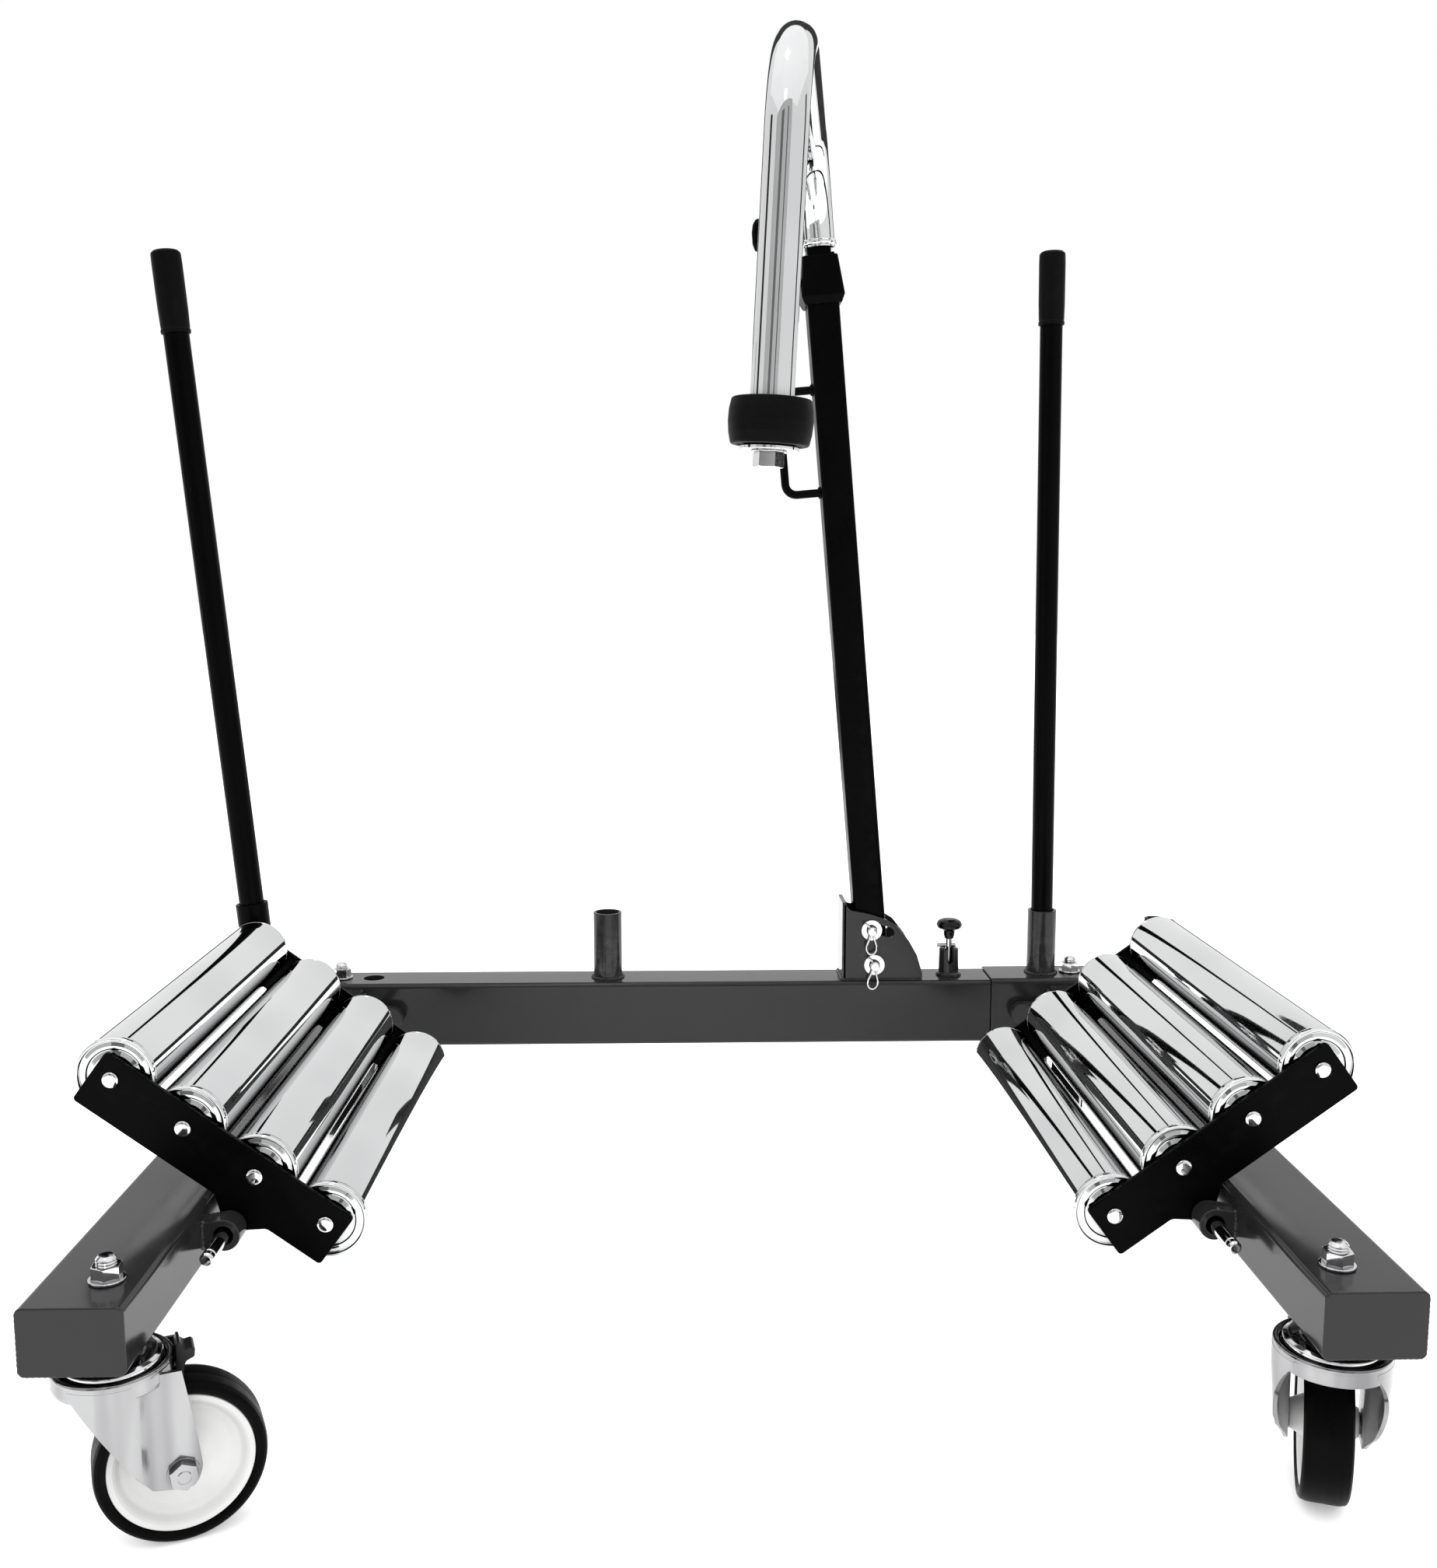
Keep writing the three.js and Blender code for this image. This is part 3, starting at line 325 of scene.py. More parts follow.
def merge(name, parts):
    bm = bmesh.new()
    for part in parts:
        bm.from_mesh(part.data)
        discard(part)
    bmesh.ops.remove_doubles(bm, verts=bm.verts, dist=1e-7)
    return from_bmesh(name, bm)


def move_to(x=0.0, y=0.0, z=0.0):
    return Matrix.Translation((x, y, z))


def turn_about(axis, degrees):
    return Matrix.Rotation(math.radians(degrees), 4, axis)


def facing(point, direction):
    """Places a piece made along +Z at a point, along a direction."""
    quaternion = Vector((0, 0, 1)).rotation_difference(Vector(direction).normalized())
    return Matrix.Translation(Vector(point)) @ quaternion.to_matrix().to_4x4()


def rod(start, end, radius, bevel=0.6, segments=32):
    length = (Vector(end) - Vector(start)).length
    profile = fillet([(0, 0), (radius, 0), (radius, length), (0, length)], bevel, 3)
    return lathe(profile, facing(start, Vector(end) - Vector(start)), segments)


def rod_y(x, z, y0, y1, radius, bevel=0.6, segments=32):
    return rod((x, y0, z), (x, y1, z), radius, bevel, segments)


def along_y(x, z, y=0.0):
    """Places a piece made along +Z along +Y, its origin at (x, y, z)."""
    return move_to(x, y, z) @ turn_about("X", -90)


def disc(radius, low, high, bevel, place, segments=48, steps=3, bore=0.0):
    """A flat washer, or a plain disc where there is no bore."""
    outline = [(bore, low), (radius, low), (radius, high), (bore, high)]
    return lathe(fillet(outline, bevel, steps, bore > 0), place, segments, bore > 0)


def hexagon(low, high, radius, place=IDENTITY, turn=0.0):
    """A hexagon head: flat sides and both ends chamfered by a cone."""
    angles = [math.radians(60 * i + turn) for i in range(6)]
    corners = [Vector((math.cos(t), math.sin(t))) * radius for t in angles]
    body = prism(corners, low, high, "Z", 0.5, place, 2)
    lip = radius * 0.07
    outside = radius * 1.02
    cone = lathe([(0, low - 0.01), (radius * 0.9, low - 0.01), (outside, low + lip), (outside, high - lip),
                  (radius * 0.88, high + 0.01), (0, high + 0.01)], place, 40)
    return boolean(body, cone, "INTERSECT")


# ---- materials ----

class Nodes:
    """A short way to build one material's node tree on a Principled shader."""

    def __init__(self, name):
        self.material = bpy.data.materials.new(name)
        self.material.use_nodes = True
        self.tree = self.material.node_tree
        self.shader = self.tree.nodes["Principled BSDF"]
        self.where = self.add("ShaderNodeTexCoord").outputs["Object"]

    def add(self, kind, **settings):
        node = self.tree.nodes.new(kind)
        for key, value in settings.items():
            setattr(node, key, value)
        return node

    def link(self, source, target):
        self.tree.links.new(source, target)

    def noise(self, scale, detail=3.0, roughness=0.5, stretch=None):
        source = self.where
        if stretch:
            mapping = self.add("ShaderNodeMapping")
            mapping.inputs["Scale"].default_value = stretch
            self.link(source, mapping.inputs["Vector"])
            source = mapping.outputs["Vector"]
        node = self.add("ShaderNodeTexNoise")
        node.inputs["Scale"].default_value = scale
        node.inputs["Detail"].default_value = detail
        node.inputs["Roughness"].default_value = roughness
        self.link(source, node.inputs["Vector"])
        return node.outputs["Fac"]

    def span(self, value, low, high, to_low=0.0, to_high=1.0):
        """value from low..high onto to_low..to_high, clamped."""
        node = self.add("ShaderNodeMapRange")
        for key, number in (("From Min", low), ("From Max", high), ("To Min", to_low), ("To Max", to_high)):
            node.inputs[key].default_value = number
        self.link(value, node.inputs["Value"])
        return node.outputs["Result"]

    def product(self, a, b):
        node = self.add("ShaderNodeMath", operation="MULTIPLY")
        self.link(a, node.inputs[0])
        self.link(b, node.inputs[1])
        return node.outputs["Value"]

    def mix(self, factor, a, b):
        node = self.add("ShaderNodeMix", data_type="RGBA")
        self.link(factor, node.inputs["Factor"])
        for socket, colour in ((node.inputs[6], a), (node.inputs[7], b)):
            if isinstance(colour, tuple):
                socket.default_value = (*colour, 1.0)
            else:
                self.link(colour, socket)
        return node.outputs[2]

    def edges(self, low, high):
        """1 on convex edges, broken up by noise."""
        pointiness = self.add("ShaderNodeNewGeometry").outputs["Pointiness"]
        return self.product(self.span(pointiness, low, high), self.span(self.noise(90, 4, 0.6), 0.42, 0.62))

    def bump(self, layers):
        """layers: (height, strength, distance in metres)."""
        normal = None
        for height, strength, distance in layers:
            node = self.add("ShaderNodeBump")
            node.inputs["Strength"].default_value = strength
            node.inputs["Distance"].default_value = distance
            self.link(height, node.inputs["Height"])
            if normal is not None:
                self.link(normal, node.inputs["Normal"])
            normal = node.outputs["Normal"]
        self.link(normal, self.shader.inputs["Normal"])

    def set(self, **values):
        for key, value in values.items():
            self.shader.inputs[key.replace("_", " ")].default_value = value


def paint(name, dark, light, bare, rough, specular, wear):
    """Powder coat: orange peel, faint dust and rubbed edges."""
    n = Nodes(name)
    base = n.mix(n.span(n.noise(7, 4), 0.35, 0.65), dark, light)
    n.link(n.mix(n.edges(*wear), base, bare), n.shader.inputs["Base Color"])
    smear = n.noise(26, 5, 0.6)
    n.link(n.span(smear, 0.3, 0.7, rough[0], rough[1]), n.shader.inputs["Roughness"])
    n.bump([(n.noise(700, 2), 0.04, 0.0004), (n.noise(30, 2), 0.03, 0.0015)])
    n.set(Specular_IOR_Level=specular)
    return n.material


def plating(name, light, dark, rough, blotch_or_band_scale, stretch=None, waviness=0.0, painted_shade=None):
    """Chrome or zinc plate: soft blotches, or with a stretch vertical bands that are painted reflections;
    fine scratches, slightly wavy reflections; optionally painted shade, the colour darkened by ambient
    occlusion in recesses and between parts.
    """
    n = Nodes(name)
    n.set(Metallic=1.0)
    # Random blotches; with a stretch this noise turns into vertical bands, which are painted reflections.
    shade = n.mix(n.span(n.noise(blotch_or_band_scale, 2, 0.4, stretch), 0.38, 0.62), light, dark)
    # Painted shade: where ambient occlusion within reach finds nearby surfaces, the colour darkens towards
    # low times the dark tone.
    if painted_shade:
        reach, low = painted_shade
        open_sky = n.add("ShaderNodeAmbientOcclusion", samples=8)
        open_sky.inputs["Distance"].default_value = reach
        shade = n.mix(n.span(open_sky.outputs["AO"], 0.25, 0.8), tuple(low * c for c in dark), shade)
    n.link(shade, n.shader.inputs["Base Color"])
    scratches = n.noise(240, 4, 0.6)
    clouds = n.noise(14, 4, 0.6)
    n.link(n.span(n.product(scratches, clouds), 0.16, 0.42, rough[0], rough[1]), n.shader.inputs["Roughness"])
    layers = [(scratches, 0.006, 0.0002)]
    if waviness:
        layers.append((n.noise(9, 1, 0.4), waviness, 0.01))
    n.bump(layers)
    return n.material


def moulded(name, dark, light, rough, grain, grain_depth, specular=0.4):
    """Rubber or plastic: moulded grain and dusty patches."""
    n = Nodes(name)
    n.link(n.mix(n.span(n.noise(18, 5, 0.6), 0.4, 0.7), dark, light), n.shader.inputs["Base Color"])
    n.link(n.span(n.noise(40, 4, 0.6), 0.3, 0.7, rough[0], rough[1]), n.shader.inputs["Roughness"])
    n.bump([(n.noise(grain, 3, 0.6), grain_depth, 0.0008), (n.noise(60, 2), 0.08, 0.0015)])
    n.set(Specular_IOR_Level=specular)
    return n.material


def grey(light):
    return (light, light, light)


GREY_PAINT = paint("grey_paint", (0.013, 0.013, 0.0134), (0.0155, 0.0155, 0.016), grey(0.05), (0.11, 0.17),
                   0.28, (0.55, 0.62))
BLACK_PAINT = paint("black_paint", grey(0.0006), grey(0.0009), grey(0.006), (0.26, 0.36), 0.035, (0.55, 0.64))
# The last setting of CHROME, ZINC_STEEL and ZINC_SHEET is painted shade: occlusion over the given reach in
# metres darkens recesses and gaps between parts, down to the given fraction of the dark tone.
CHROME = plating("chrome", (0.70, 0.705, 0.71), (0.62, 0.625, 0.63), (0.02, 0.06), 5, waviness=0.025,
                 painted_shade=(0.03, 0.3))
ZINC_STEEL = plating("zinc_steel", (0.72, 0.72, 0.73), (0.62, 0.62, 0.63), (0.06, 0.14), 40,
                     painted_shade=(0.006, 0.3))
# Painted reflections: the fork sheet's tone runs in vertical bands between these two greys, standing for the
# surroundings mirrored in its curved legs.
ZINC_SHEET = plating("zinc_sheet", (0.37, 0.37, 0.375), (0.2, 0.2, 0.205), (0.12, 0.2), 36, (1, 1, 0.08),
                     painted_shade=(0.012, 0.35))
MATERIALS = {
    "grey_paint": GREY_PAINT,
    "black_paint": BLACK_PAINT,
    "chrome": CHROME,
    "zinc_steel": ZINC_STEEL,
    "rubber": moulded("rubber", grey(0.0016), grey(0.003), (0.36, 0.5), 1400, 0.08, 0.05),
    "tread_rubber": moulded("tread_rubber", grey(0.0012), grey(0.0024), (0.3, 0.45), 700, 0.05, 0.035),
    "white_nylon": moulded("white_nylon", (0.62, 0.62, 0.615), (0.58, 0.58, 0.575), (0.32, 0.46), 500, 0.04),
    "grey_plastic": moulded("grey_plastic", grey(0.004), grey(0.008), (0.3, 0.45), 900, 0.1, 0.25),
    "black_plastic": moulded("black_plastic", grey(0.0012), grey(0.002), (0.12, 0.22), 800, 0.04, 0.25),
}


# ---- putting a piece into the model ----

def smooth_by_angle(obj, degrees=38):
    mesh = obj.data
    mesh.polygons.foreach_set("use_smooth", [True] * len(mesh.polygons))
    mesh.set_sharp_from_angle(angle=math.radians(degrees))
    normals = obj.modifiers.new("weighted normals", "WEIGHTED_NORMAL")
    normals.keep_sharp = True


def stand_for(node, *parts):
    """Joins the parts into the piece that is shown in place of a CAD node."""
    obj = merge("fine_" + node, parts)
    smooth_by_angle(obj)
    slot_name = SLOT_OF[node]
    obj.data.materials.clear()
    obj.data.materials.append(ZINC_SHEET if node.endswith("_fork") else MATERIALS[slot_name])
    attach(obj, BODY_OF[node])
    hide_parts(node)


# ---- legs ----

FRONT_LUG = (182, 204)
REAR_LUG = (843, 857)
LUG_RADIUS = 14


def make_lug(side, tip, half_root, depth, pivot, bore):
    """A tab from the leg's inner face, ending in a round nose, with the pivot rod's hole."""
    root_x = side * (LEG["inner"] + 1)
    points = [Vector((root_x, tip.z - half_root))]
    for k in range(15):
        t = math.radians(-90 + 180 * k / 14)
        points.append(Vector((tip.x - side * LUG_RADIUS * math.cos(t), tip.z + LUG_RADIUS * math.sin(t))))
    points.append(Vector((root_x, tip.z + half_root)))
    lug = prism(points, *depth, "Y", 1.2)
    return cut(lug, rod_y(pivot.x, pivot.z, depth[0] - 6, depth[1] + 6, bore, 0))


def make_leg(label, side):
    pivot = design_point(label + "_carriage_tilt")
    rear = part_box(label + "_leg")[1].y / MM - ORIGIN.y / MM
    middle = (side * (LEG["inner"] + LEG["width"] / 2), LEG_TOP - LEG["height"] / 2)
    tube = prism(rounded_rectangle(LEG["width"], LEG["height"], 5.5, middle, 6), 0.05, rear, "Y", 1.3)
    front = make_lug(side, pivot, 11, FRONT_LUG, pivot, 8.6)
    tip = Vector((pivot.x - side * 19, 0, pivot.z - 4))
    back = make_lug(side, tip, LUG_RADIUS, REAR_LUG, pivot, 6.6)
    face = side * (LEG["inner"] - 0.2)
    low, high = pivot.z - 11, pivot.z + 11
    welds = [bead([(face, y, low), (face, y, high)], 2.2) for y in FRONT_LUG]
    welds += [bead([(face, FRONT_LUG[0], z), (face, FRONT_LUG[1], z)], 2.2) for z in (low, high)]
    low, high = tip.z - LUG_RADIUS, tip.z + LUG_RADIUS
    welds += [bead([(face, y, low), (face, y, high)], 1.6) for y in REAR_LUG]
    nose = rounded_rectangle(LEG["width"] - 1.6, LEG["height"] - 1.6, 4.7, middle, 6)
    seam = bead([(p.x, 1.1, p.y) for p in nose], 0.95, closed=True)
    stand_for(label + "_leg", tube, front, back, seam, *welds)


make_leg("left", -1)
make_leg("right", 1)


# ---- crossbar ----

BAR_CORNER = 6
GROW = 2.5
TOP_HOLE = {"inboard": 42, "radius": 13.5}
STORAGE = {"bore": 15.2, "outer": 18.7, "top": LEG_TOP + 96.4, "left": -132, "right": 443.3}


def cross_tube(x0, x1, relief, grow):
    """Rounded tube along X, shallower outboard of the caster relief."""
    width = BAR["rear"] - BAR["front"] + 2 * grow
    top, low = BAR["top"] + grow, BAR["low"] - grow
    deep = (x0, relief) if relief > 0 else (relief, x1)
    full_outline = rounded_rectangle(width, top - low, BAR_CORNER, (BAR["mid"], (top + low) / 2), 6)
    shallow_outline = rounded_rectangle(width, top - SEAT, BAR_CORNER, (BAR["mid"], (top + SEAT) / 2), 6)
    full = prism(full_outline, *deep, "X", 1.0)
    return boolean(full, prism(shallow_outline, x0, x1, "X", 1.0), "UNION")


def storage_tube(x, base):
    """An open tube that a lever is stored in, and its weld."""
    bore, outer, top = STORAGE["bore"], STORAGE["outer"], STORAGE["top"]
    low = base + 0.3
    profile = fillet([(bore, low), (outer, low), (outer, top, 0.9), (bore, top, 0.9)], 0, 3, True)
    tube = lathe(profile, move_to(x, BAR["mid"]), 48, True)
    skirt = bead(circle_points((x, BAR["mid"], base + 0.8), 19.6, (0, 0, 1), 60), 2.4, True)
    return [tube, skirt]


def leg_welds(side, front):
    """The beads between the bar's front face and a leg's inner and top faces."""
    inner, outer = side * LEG["inner"], side * LEG["outer"]
    corner = bead([(inner, front - 0.4, LEG_TOP - 2), (inner, front - 0.4, SEAT + 3)], 2.0)
    ends = sorted((outer - side * 6, inner + side * 3))
    top = bead([(x, front + 0.2, LEG_TOP + 0.2) for x in ends], 2.2)
    return [corner, top]


hole_x = design_point("caster_rl_turn").x + TOP_HOLE["inboard"]
hole_ends = [(hole_x, BAR["mid"], z) for z in (BAR["top"] - 30, BAR["top"] + 5)]
crossbar = cross_tube(-LEG["outer"], BAR["seam"], -BAR["relief"], 0)
cut(crossbar, rod(*hole_ends, TOP_HOLE["radius"], 0, 40))
welds = leg_welds(-1, BAR["front"])
stand_for("crossbar_tube", crossbar, *storage_tube(STORAGE["left"], BAR["top"]), *welds)

sleeve = cross_tube(BAR["seam"] + 0.5, LEG["outer"], BAR["relief"], GROW)
welds = leg_welds(1, BAR["front"] - GROW)
stand_for("right_sleeve", sleeve, *storage_tube(STORAGE["right"], BAR["top"] + GROW), *welds)


# ---- plunger ----

PLUNGER_X = 320
SLOT_HALF = 3.6
PLUNGER_AT = move_to(PLUNGER_X, BAR["mid"])
base = BAR["top"] + 0.3
housing_top = LEG_TOP + 45.7
profile = fillet([(0, base), (16.4, base), (16.4, base + 2.4, 1.2), (13.4, base + 4.2, 2),
                  (12.9, housing_top, 4.5), (6.4, housing_top, 2), (6.4, LEG_TOP + 36), (5.2, base + 14),
                  (0, base + 14)], 0.4, 4)
housing = lathe(profile, PLUNGER_AT, 48)
slot_x = (PLUNGER_X - SLOT_HALF, PLUNGER_X + SLOT_HALF)
slot_outline = fillet([(slot_x[0], LEG_TOP + 50), (slot_x[0], base + 16, 3.5), (slot_x[1], base + 16, 3.5),
                       (slot_x[1], LEG_TOP + 50)], 0, 5, True)
slot_tool = prism(slot_outline, BAR["mid"] - 22, BAR["mid"] + 22, "Y")
cut(housing, slot_tool)
foot = bead(circle_points((PLUNGER_X, BAR["mid"], base + 0.4), 15.4, (0, 0, 1), 48), 1.5, True)
stand_for("plunger_housing", housing, foot)

cross_z = LEG_TOP + 48.7
profile = fillet([(0, BAR["top"] - 2.8), (2.4, BAR["top"] - 2.8), (3.5, BAR["top"] - 1), (3.5, LEG_TOP + 34),
                  (4.2, LEG_TOP + 50), (4.4, LEG_TOP + 60), (0, LEG_TOP + 60)], 0.6, 3)
shaft = lathe(profile, PLUNGER_AT, 32)
cross = rod((PLUNGER_X - 16.5, BAR["mid"], cross_z), (PLUNGER_X + 9, BAR["mid"], cross_z), 2.4, 1.0, 24)
stand_for("plunger_pin", shaft, cross)

knob_low = LEG_TOP + 58
profile = fillet([(0, 3), (4.6, 3), (4.6, 0), (5.6, 0, 0.8), (7.2, 5, 3), (7.6, 12, 4), (15.5, 14.6, 3),
                  (17, 19, 2.5), (14.6, 24, 4), (8, 26.6, 8), (0, 27)], 0, 5)
stand_for("plunger_knob", lathe(profile, PLUNGER_AT @ move_to(0, 0, knob_low), 56))


# ---- mast bracket and pins ----

BRACKET = {"left": 175, "right": 281.5, "front": 871, "rear": 927, "cheek": 5, "top": 317.7}
SLOT = {"radius": 46.4, "half": 6.8, "end": math.radians(24.6)}


def slot_arc(radius, angles):
    return [Vector((MAST_PIN.x + radius * math.cos(t), MAST_PIN.z + radius * math.sin(t))) for t in angles]


def slot_cap(at, heading):
    """The half circle that closes one end of the slot."""
    centre = Vector((MAST_PIN.x, MAST_PIN.z)) + Vector((math.cos(at), math.sin(at))) * SLOT["radius"]
    angles = [heading + math.pi * k / 10 for k in range(1, 10)]
    return [centre + Vector((math.cos(t), math.sin(t))) * SLOT["half"] for t in angles]


def arc_slot():
    first, last = math.pi / 2 - SLOT["end"], math.pi / 2 + MAST_LEAN
    angles = [first + (last - first) * k / 16 for k in range(17)]
    outline = slot_arc(SLOT["radius"] + SLOT["half"], angles) + slot_cap(last, last)
    outline += slot_arc(SLOT["radius"] - SLOT["half"], reversed(angles)) + slot_cap(first, first + math.pi)
    return outline


left, right, top = BRACKET["left"], BRACKET["right"], BRACKET["top"]
cheek_outline = fillet([(left + 2, base), (right, base), (280, 225), (273.3, 247), (263, 265.5), (247.8, 285),
                        (232.5, 294.5), (216, 300.5), (202, 304), (187, 306.5), (181.5, 311), (178.5, top),
                        (left + 2, top)], 6, 3, True)
cheek_outline[0] = Vector((left + 2, base))
cheeks = []
for y0 in (BRACKET["front"], BRACKET["rear"] - BRACKET["cheek"]):
    cheek = prism(cheek_outline, y0, y0 + BRACKET["cheek"], "Y", 0.7)
    slot_prism = prism(arc_slot(), y0 - 3, y0 + BRACKET["cheek"] + 3, "Y")
    pin_bore = rod_y(MAST_PIN.x, MAST_PIN.z, y0 - 3, y0 + BRACKET["cheek"] + 3, 6.4, 0)
    cheeks.append(cut(cheek, slot_prism, pin_bore))
front, rear = BRACKET["front"], BRACKET["rear"]
web_outline = fillet([(front, base), (rear, base), (rear, top, 3), (front, top, 3)], 0, 4, True)
web = prism(web_outline, left, left + 5.5, "X", 0.8)
foot_plate = cuboid((252, right - 2.5), (front + 1, rear - 1), (base, base + 4), 0.8)
welds = [bead([(x, y, base + 0.8) for x in (left + 2, right - 1)], 1.8) for y in (front - 0.6, rear + 0.6)]
welds.append(bead([(left - 0.4, y, base + 0.8) for y in (front, rear)], 1.8))
stand_for("mast_bracket", *cheeks, web, foot_plate, *welds)


def clevis_pin(node, x, z, turn):
    """A pin along Y with a washer, a rear head and a wire clip that hangs from its front end."""
    front, rear = BRACKET["front"], BRACKET["rear"]
    shank = rod_y(x, z, front - 13, rear + 3, 6, 1.4)
    washer = disc(13.5, 0.3, 3, 0.5, move_to(x, front, z) @ turn_about("X", 90), bore=6.6)
    head = disc(9.5, 0.3, 5, 1.2, along_y(x, z, rear), 40, 4)
    loop = fillet([(0.4, 4.4), (2.0, -3), (3.2, -10), (6.4, -19), (6.6, -24), (4.2, -29.4), (0, -31.4),
                   (-4.2, -29.4), (-6.6, -24), (-6.4, -19), (-3.2, -10), (-2.0, -3)], 6, 3, True)
    place = move_to(x, BAR["front"] - 2.2, z) @ turn_about("Y", -turn)
    wire = sweep([(p.x, 0, p.y) for p in loop], 1.3, 10, True, place)
    stub = sweep([(-1.5, 0.6, 2), (-4.5, 0.4, 6), (-8.5, 0, 8.6), (-11.2, -0.2, 9.4)], 1.3, 10, False, place)
    stand_for(node, shank, washer, head, wire, stub)


clevis_pin("mast_pivot_pin", MAST_PIN.x, MAST_PIN.z, -7)
stop_x = MAST_PIN.x - SLOT["radius"] * math.sin(MAST_LEAN)
stop_z = MAST_PIN.z + SLOT["radius"] * math.cos(MAST_LEAN)
clevis_pin("mast_stop_pin", stop_x, stop_z, -2)


# ---- mast ----

ON_MAST = Matrix.Translation(MAST_PIN) @ Matrix.Rotation(-MAST_LEAN, 4, "Y")
MAST_TOP = 893
MAST_WIDTH = 40
FOOT_R = 14
HANDLE_X = -64
HANDLE_Z = (613, 741)
INNER_WIDTH = 30
INNER_Z = (470, 911)

tube = prism(rounded_rectangle(MAST_WIDTH, MAST_WIDTH, 4, (0, 0), 6), -FOOT_R, MAST_TOP, "Z", 0.8, ON_MAST)
foot_angles = [math.pi * (1 + k / 20) for k in range(21)]
tongue = [Vector((math.cos(t), math.sin(t))) * FOOT_R for t in foot_angles]
envelope_outline = [(-22, FOOT_R), *tongue, (22, FOOT_R), (22, MAST_TOP + 4), (-22, MAST_TOP + 4)]
envelope = prism(envelope_outline, -24, 24, "Y", 0, ON_MAST)
boolean(tube, envelope, "INTERSECT")
handle_low, handle_high = HANDLE_Z
handle_line = [(-20.5, 0, handle_high), (HANDLE_X, 0, handle_high), (HANDLE_X, 0, handle_low),
               (-20.5, 0, handle_low)]
handle = sweep(bent(handle_line, 14, 8), 5.2, 20, False, ON_MAST)
flange_profile = fillet([(0, 0), (7.6, 0), (7.0, 3.2), (0, 3.2)], 0.8, 3)
flanges = [lathe(flange_profile, ON_MAST @ move_to(-19.8, 0, z) @ turn_about("Y", -90), 28) for z in HANDLE_Z]
beads = [bead(circle_points((-20.2, 0, z), 7.4, (1, 0, 0), 28), 1.1, True, ON_MAST) for z in HANDLE_Z]
stand_for("mast", tube, handle, *flanges, *beads)

COLLAR = [(842, 22.4), (843.5, 23.6), (851, 26.8), (853, 27), (899, 22.2), (900.6, 21.6), (901, 20.6)]
collar = loft([(rounded_rectangle(2 * half, 2 * half, 3.2, (0, 0), 5), z) for z, half in COLLAR], ON_MAST)
peg = rod((19, 8, 890), (19, 8, 908.8), 2.3, 1.0, 18)
peg.data.transform(TO_ROW @ ON_MAST @ TO_ROW.inverted())
stand_for("mast_collar", collar, peg)

CLAMP_Z = 872
clamp_face = -27
hub_profile = fillet([(0, 0), (9, 0), (12, 3), (12, 15), (9, 18.6), (0, 18.6)], 1.5, 4)
hub = lathe(hub_profile, ON_MAST @ move_to(clamp_face - 1.3, 0, CLAMP_Z) @ turn_about("Y", -90), 40)
screw_place = ON_MAST @ move_to(-20.8, 0, CLAMP_Z) @ turn_about("Y", -90)
screw = lathe([(0, 0), (5, 0), (5, 11), (0, 11)], screw_place, 24)
arm_steps = [(13, 4), (22, 11), (30, 22), (37, 35), (43, 48)]
arm_line = [(clamp_face - out, 0, CLAMP_Z + up) for out, up in arm_steps]
arm = sweep(arm_line, [6.5, 5.4, 4.8, 4.6, 5.0], 18, False, ON_MAST)
tip_profile = fillet([(0, -20), (3.4, -18.6, 3), (6.6, -11, 8), (8, 2, 10), (7.9, 2.6), (8.1, 3.0),
                      (7.2, 13, 8), (4, 19, 4), (0, 20.4)], 0, 4)
tip_place = ON_MAST @ move_to(clamp_face - 46, 0, CLAMP_Z + 62) @ Matrix.Rotation(0.12, 4, "Y")
tip = lathe(tip_profile, tip_place, 36)
stand_for("clamp_lever", hub, screw, arm, tip)

inner_outline = rounded_rectangle(INNER_WIDTH, INNER_WIDTH, 3, (0, 0), 5)
stand_for("inner_mast", prism(inner_outline, *INNER_Z, "Z", 0.8, ON_MAST))


# ---- safety hook ----

HOOK_BASE = ON_MAST @ Vector((0, 0, INNER_Z[1] + 0.4))
HOOK_RISE = Vector((128.5, BAR["mid"], LEG_TOP + 1053))
HOOK_TURN = Vector((71, 430, LEG_TOP + 1053))
HOOK_TIP = Vector((53.3, 430, LEG_TOP + 702))
HOOK_R = 21.5

hook_line = bent([HOOK_BASE, HOOK_RISE, HOOK_TURN, HOOK_TIP], 105, 28)
dense = []
for start, end in zip(hook_line, hook_line[1:]):
    count = max(1, round((end - start).length / 12))
    dense += [start.lerp(end, k / count) for k in range(count)]
dense.append(hook_line[-1])
hook = sweep(dense, HOOK_R, 64)
up = (HOOK_RISE - HOOK_BASE).normalized()
cup_profile = fillet([(0, 0.1), (17, 0.1), (23.4, 3.2, 3), (23.5, 6.5, 1.5), (21.8, 8.2, 0.6), (0, 8.2)],
                     2.5, 5)
cup = lathe(cup_profile, facing(HOOK_BASE, up), 64)
rim = bead(circle_points(HOOK_BASE + up * 8.4, 22.2, up, 72), 1.2, True)
stand_for("hook_tube", hook, cup, rim)

DOWN = (HOOK_TIP - HOOK_TURN).normalized()
AT_TIP = facing(HOOK_TIP, DOWN)
profile = fillet([(9.6, 0.7), (27, 0.7, 0.8), (29, 1.6), (31, 0.8, 0.8), (38.8, 1.2, 2.6), (41.0, 12, 12),
                  (41.5, 23, 16), (40.6, 34, 12), (38.2, 45.0, 2.6), (32.5, 45.5, 1.2), (31, 43.6, 0.8),
                  (28, 43.2, 0.8), (24, 45.3, 0.8), (9.6, 45.4)], 0, 5, True)
stand_for("hook_bumper", lathe(profile, AT_TIP, 80, True))

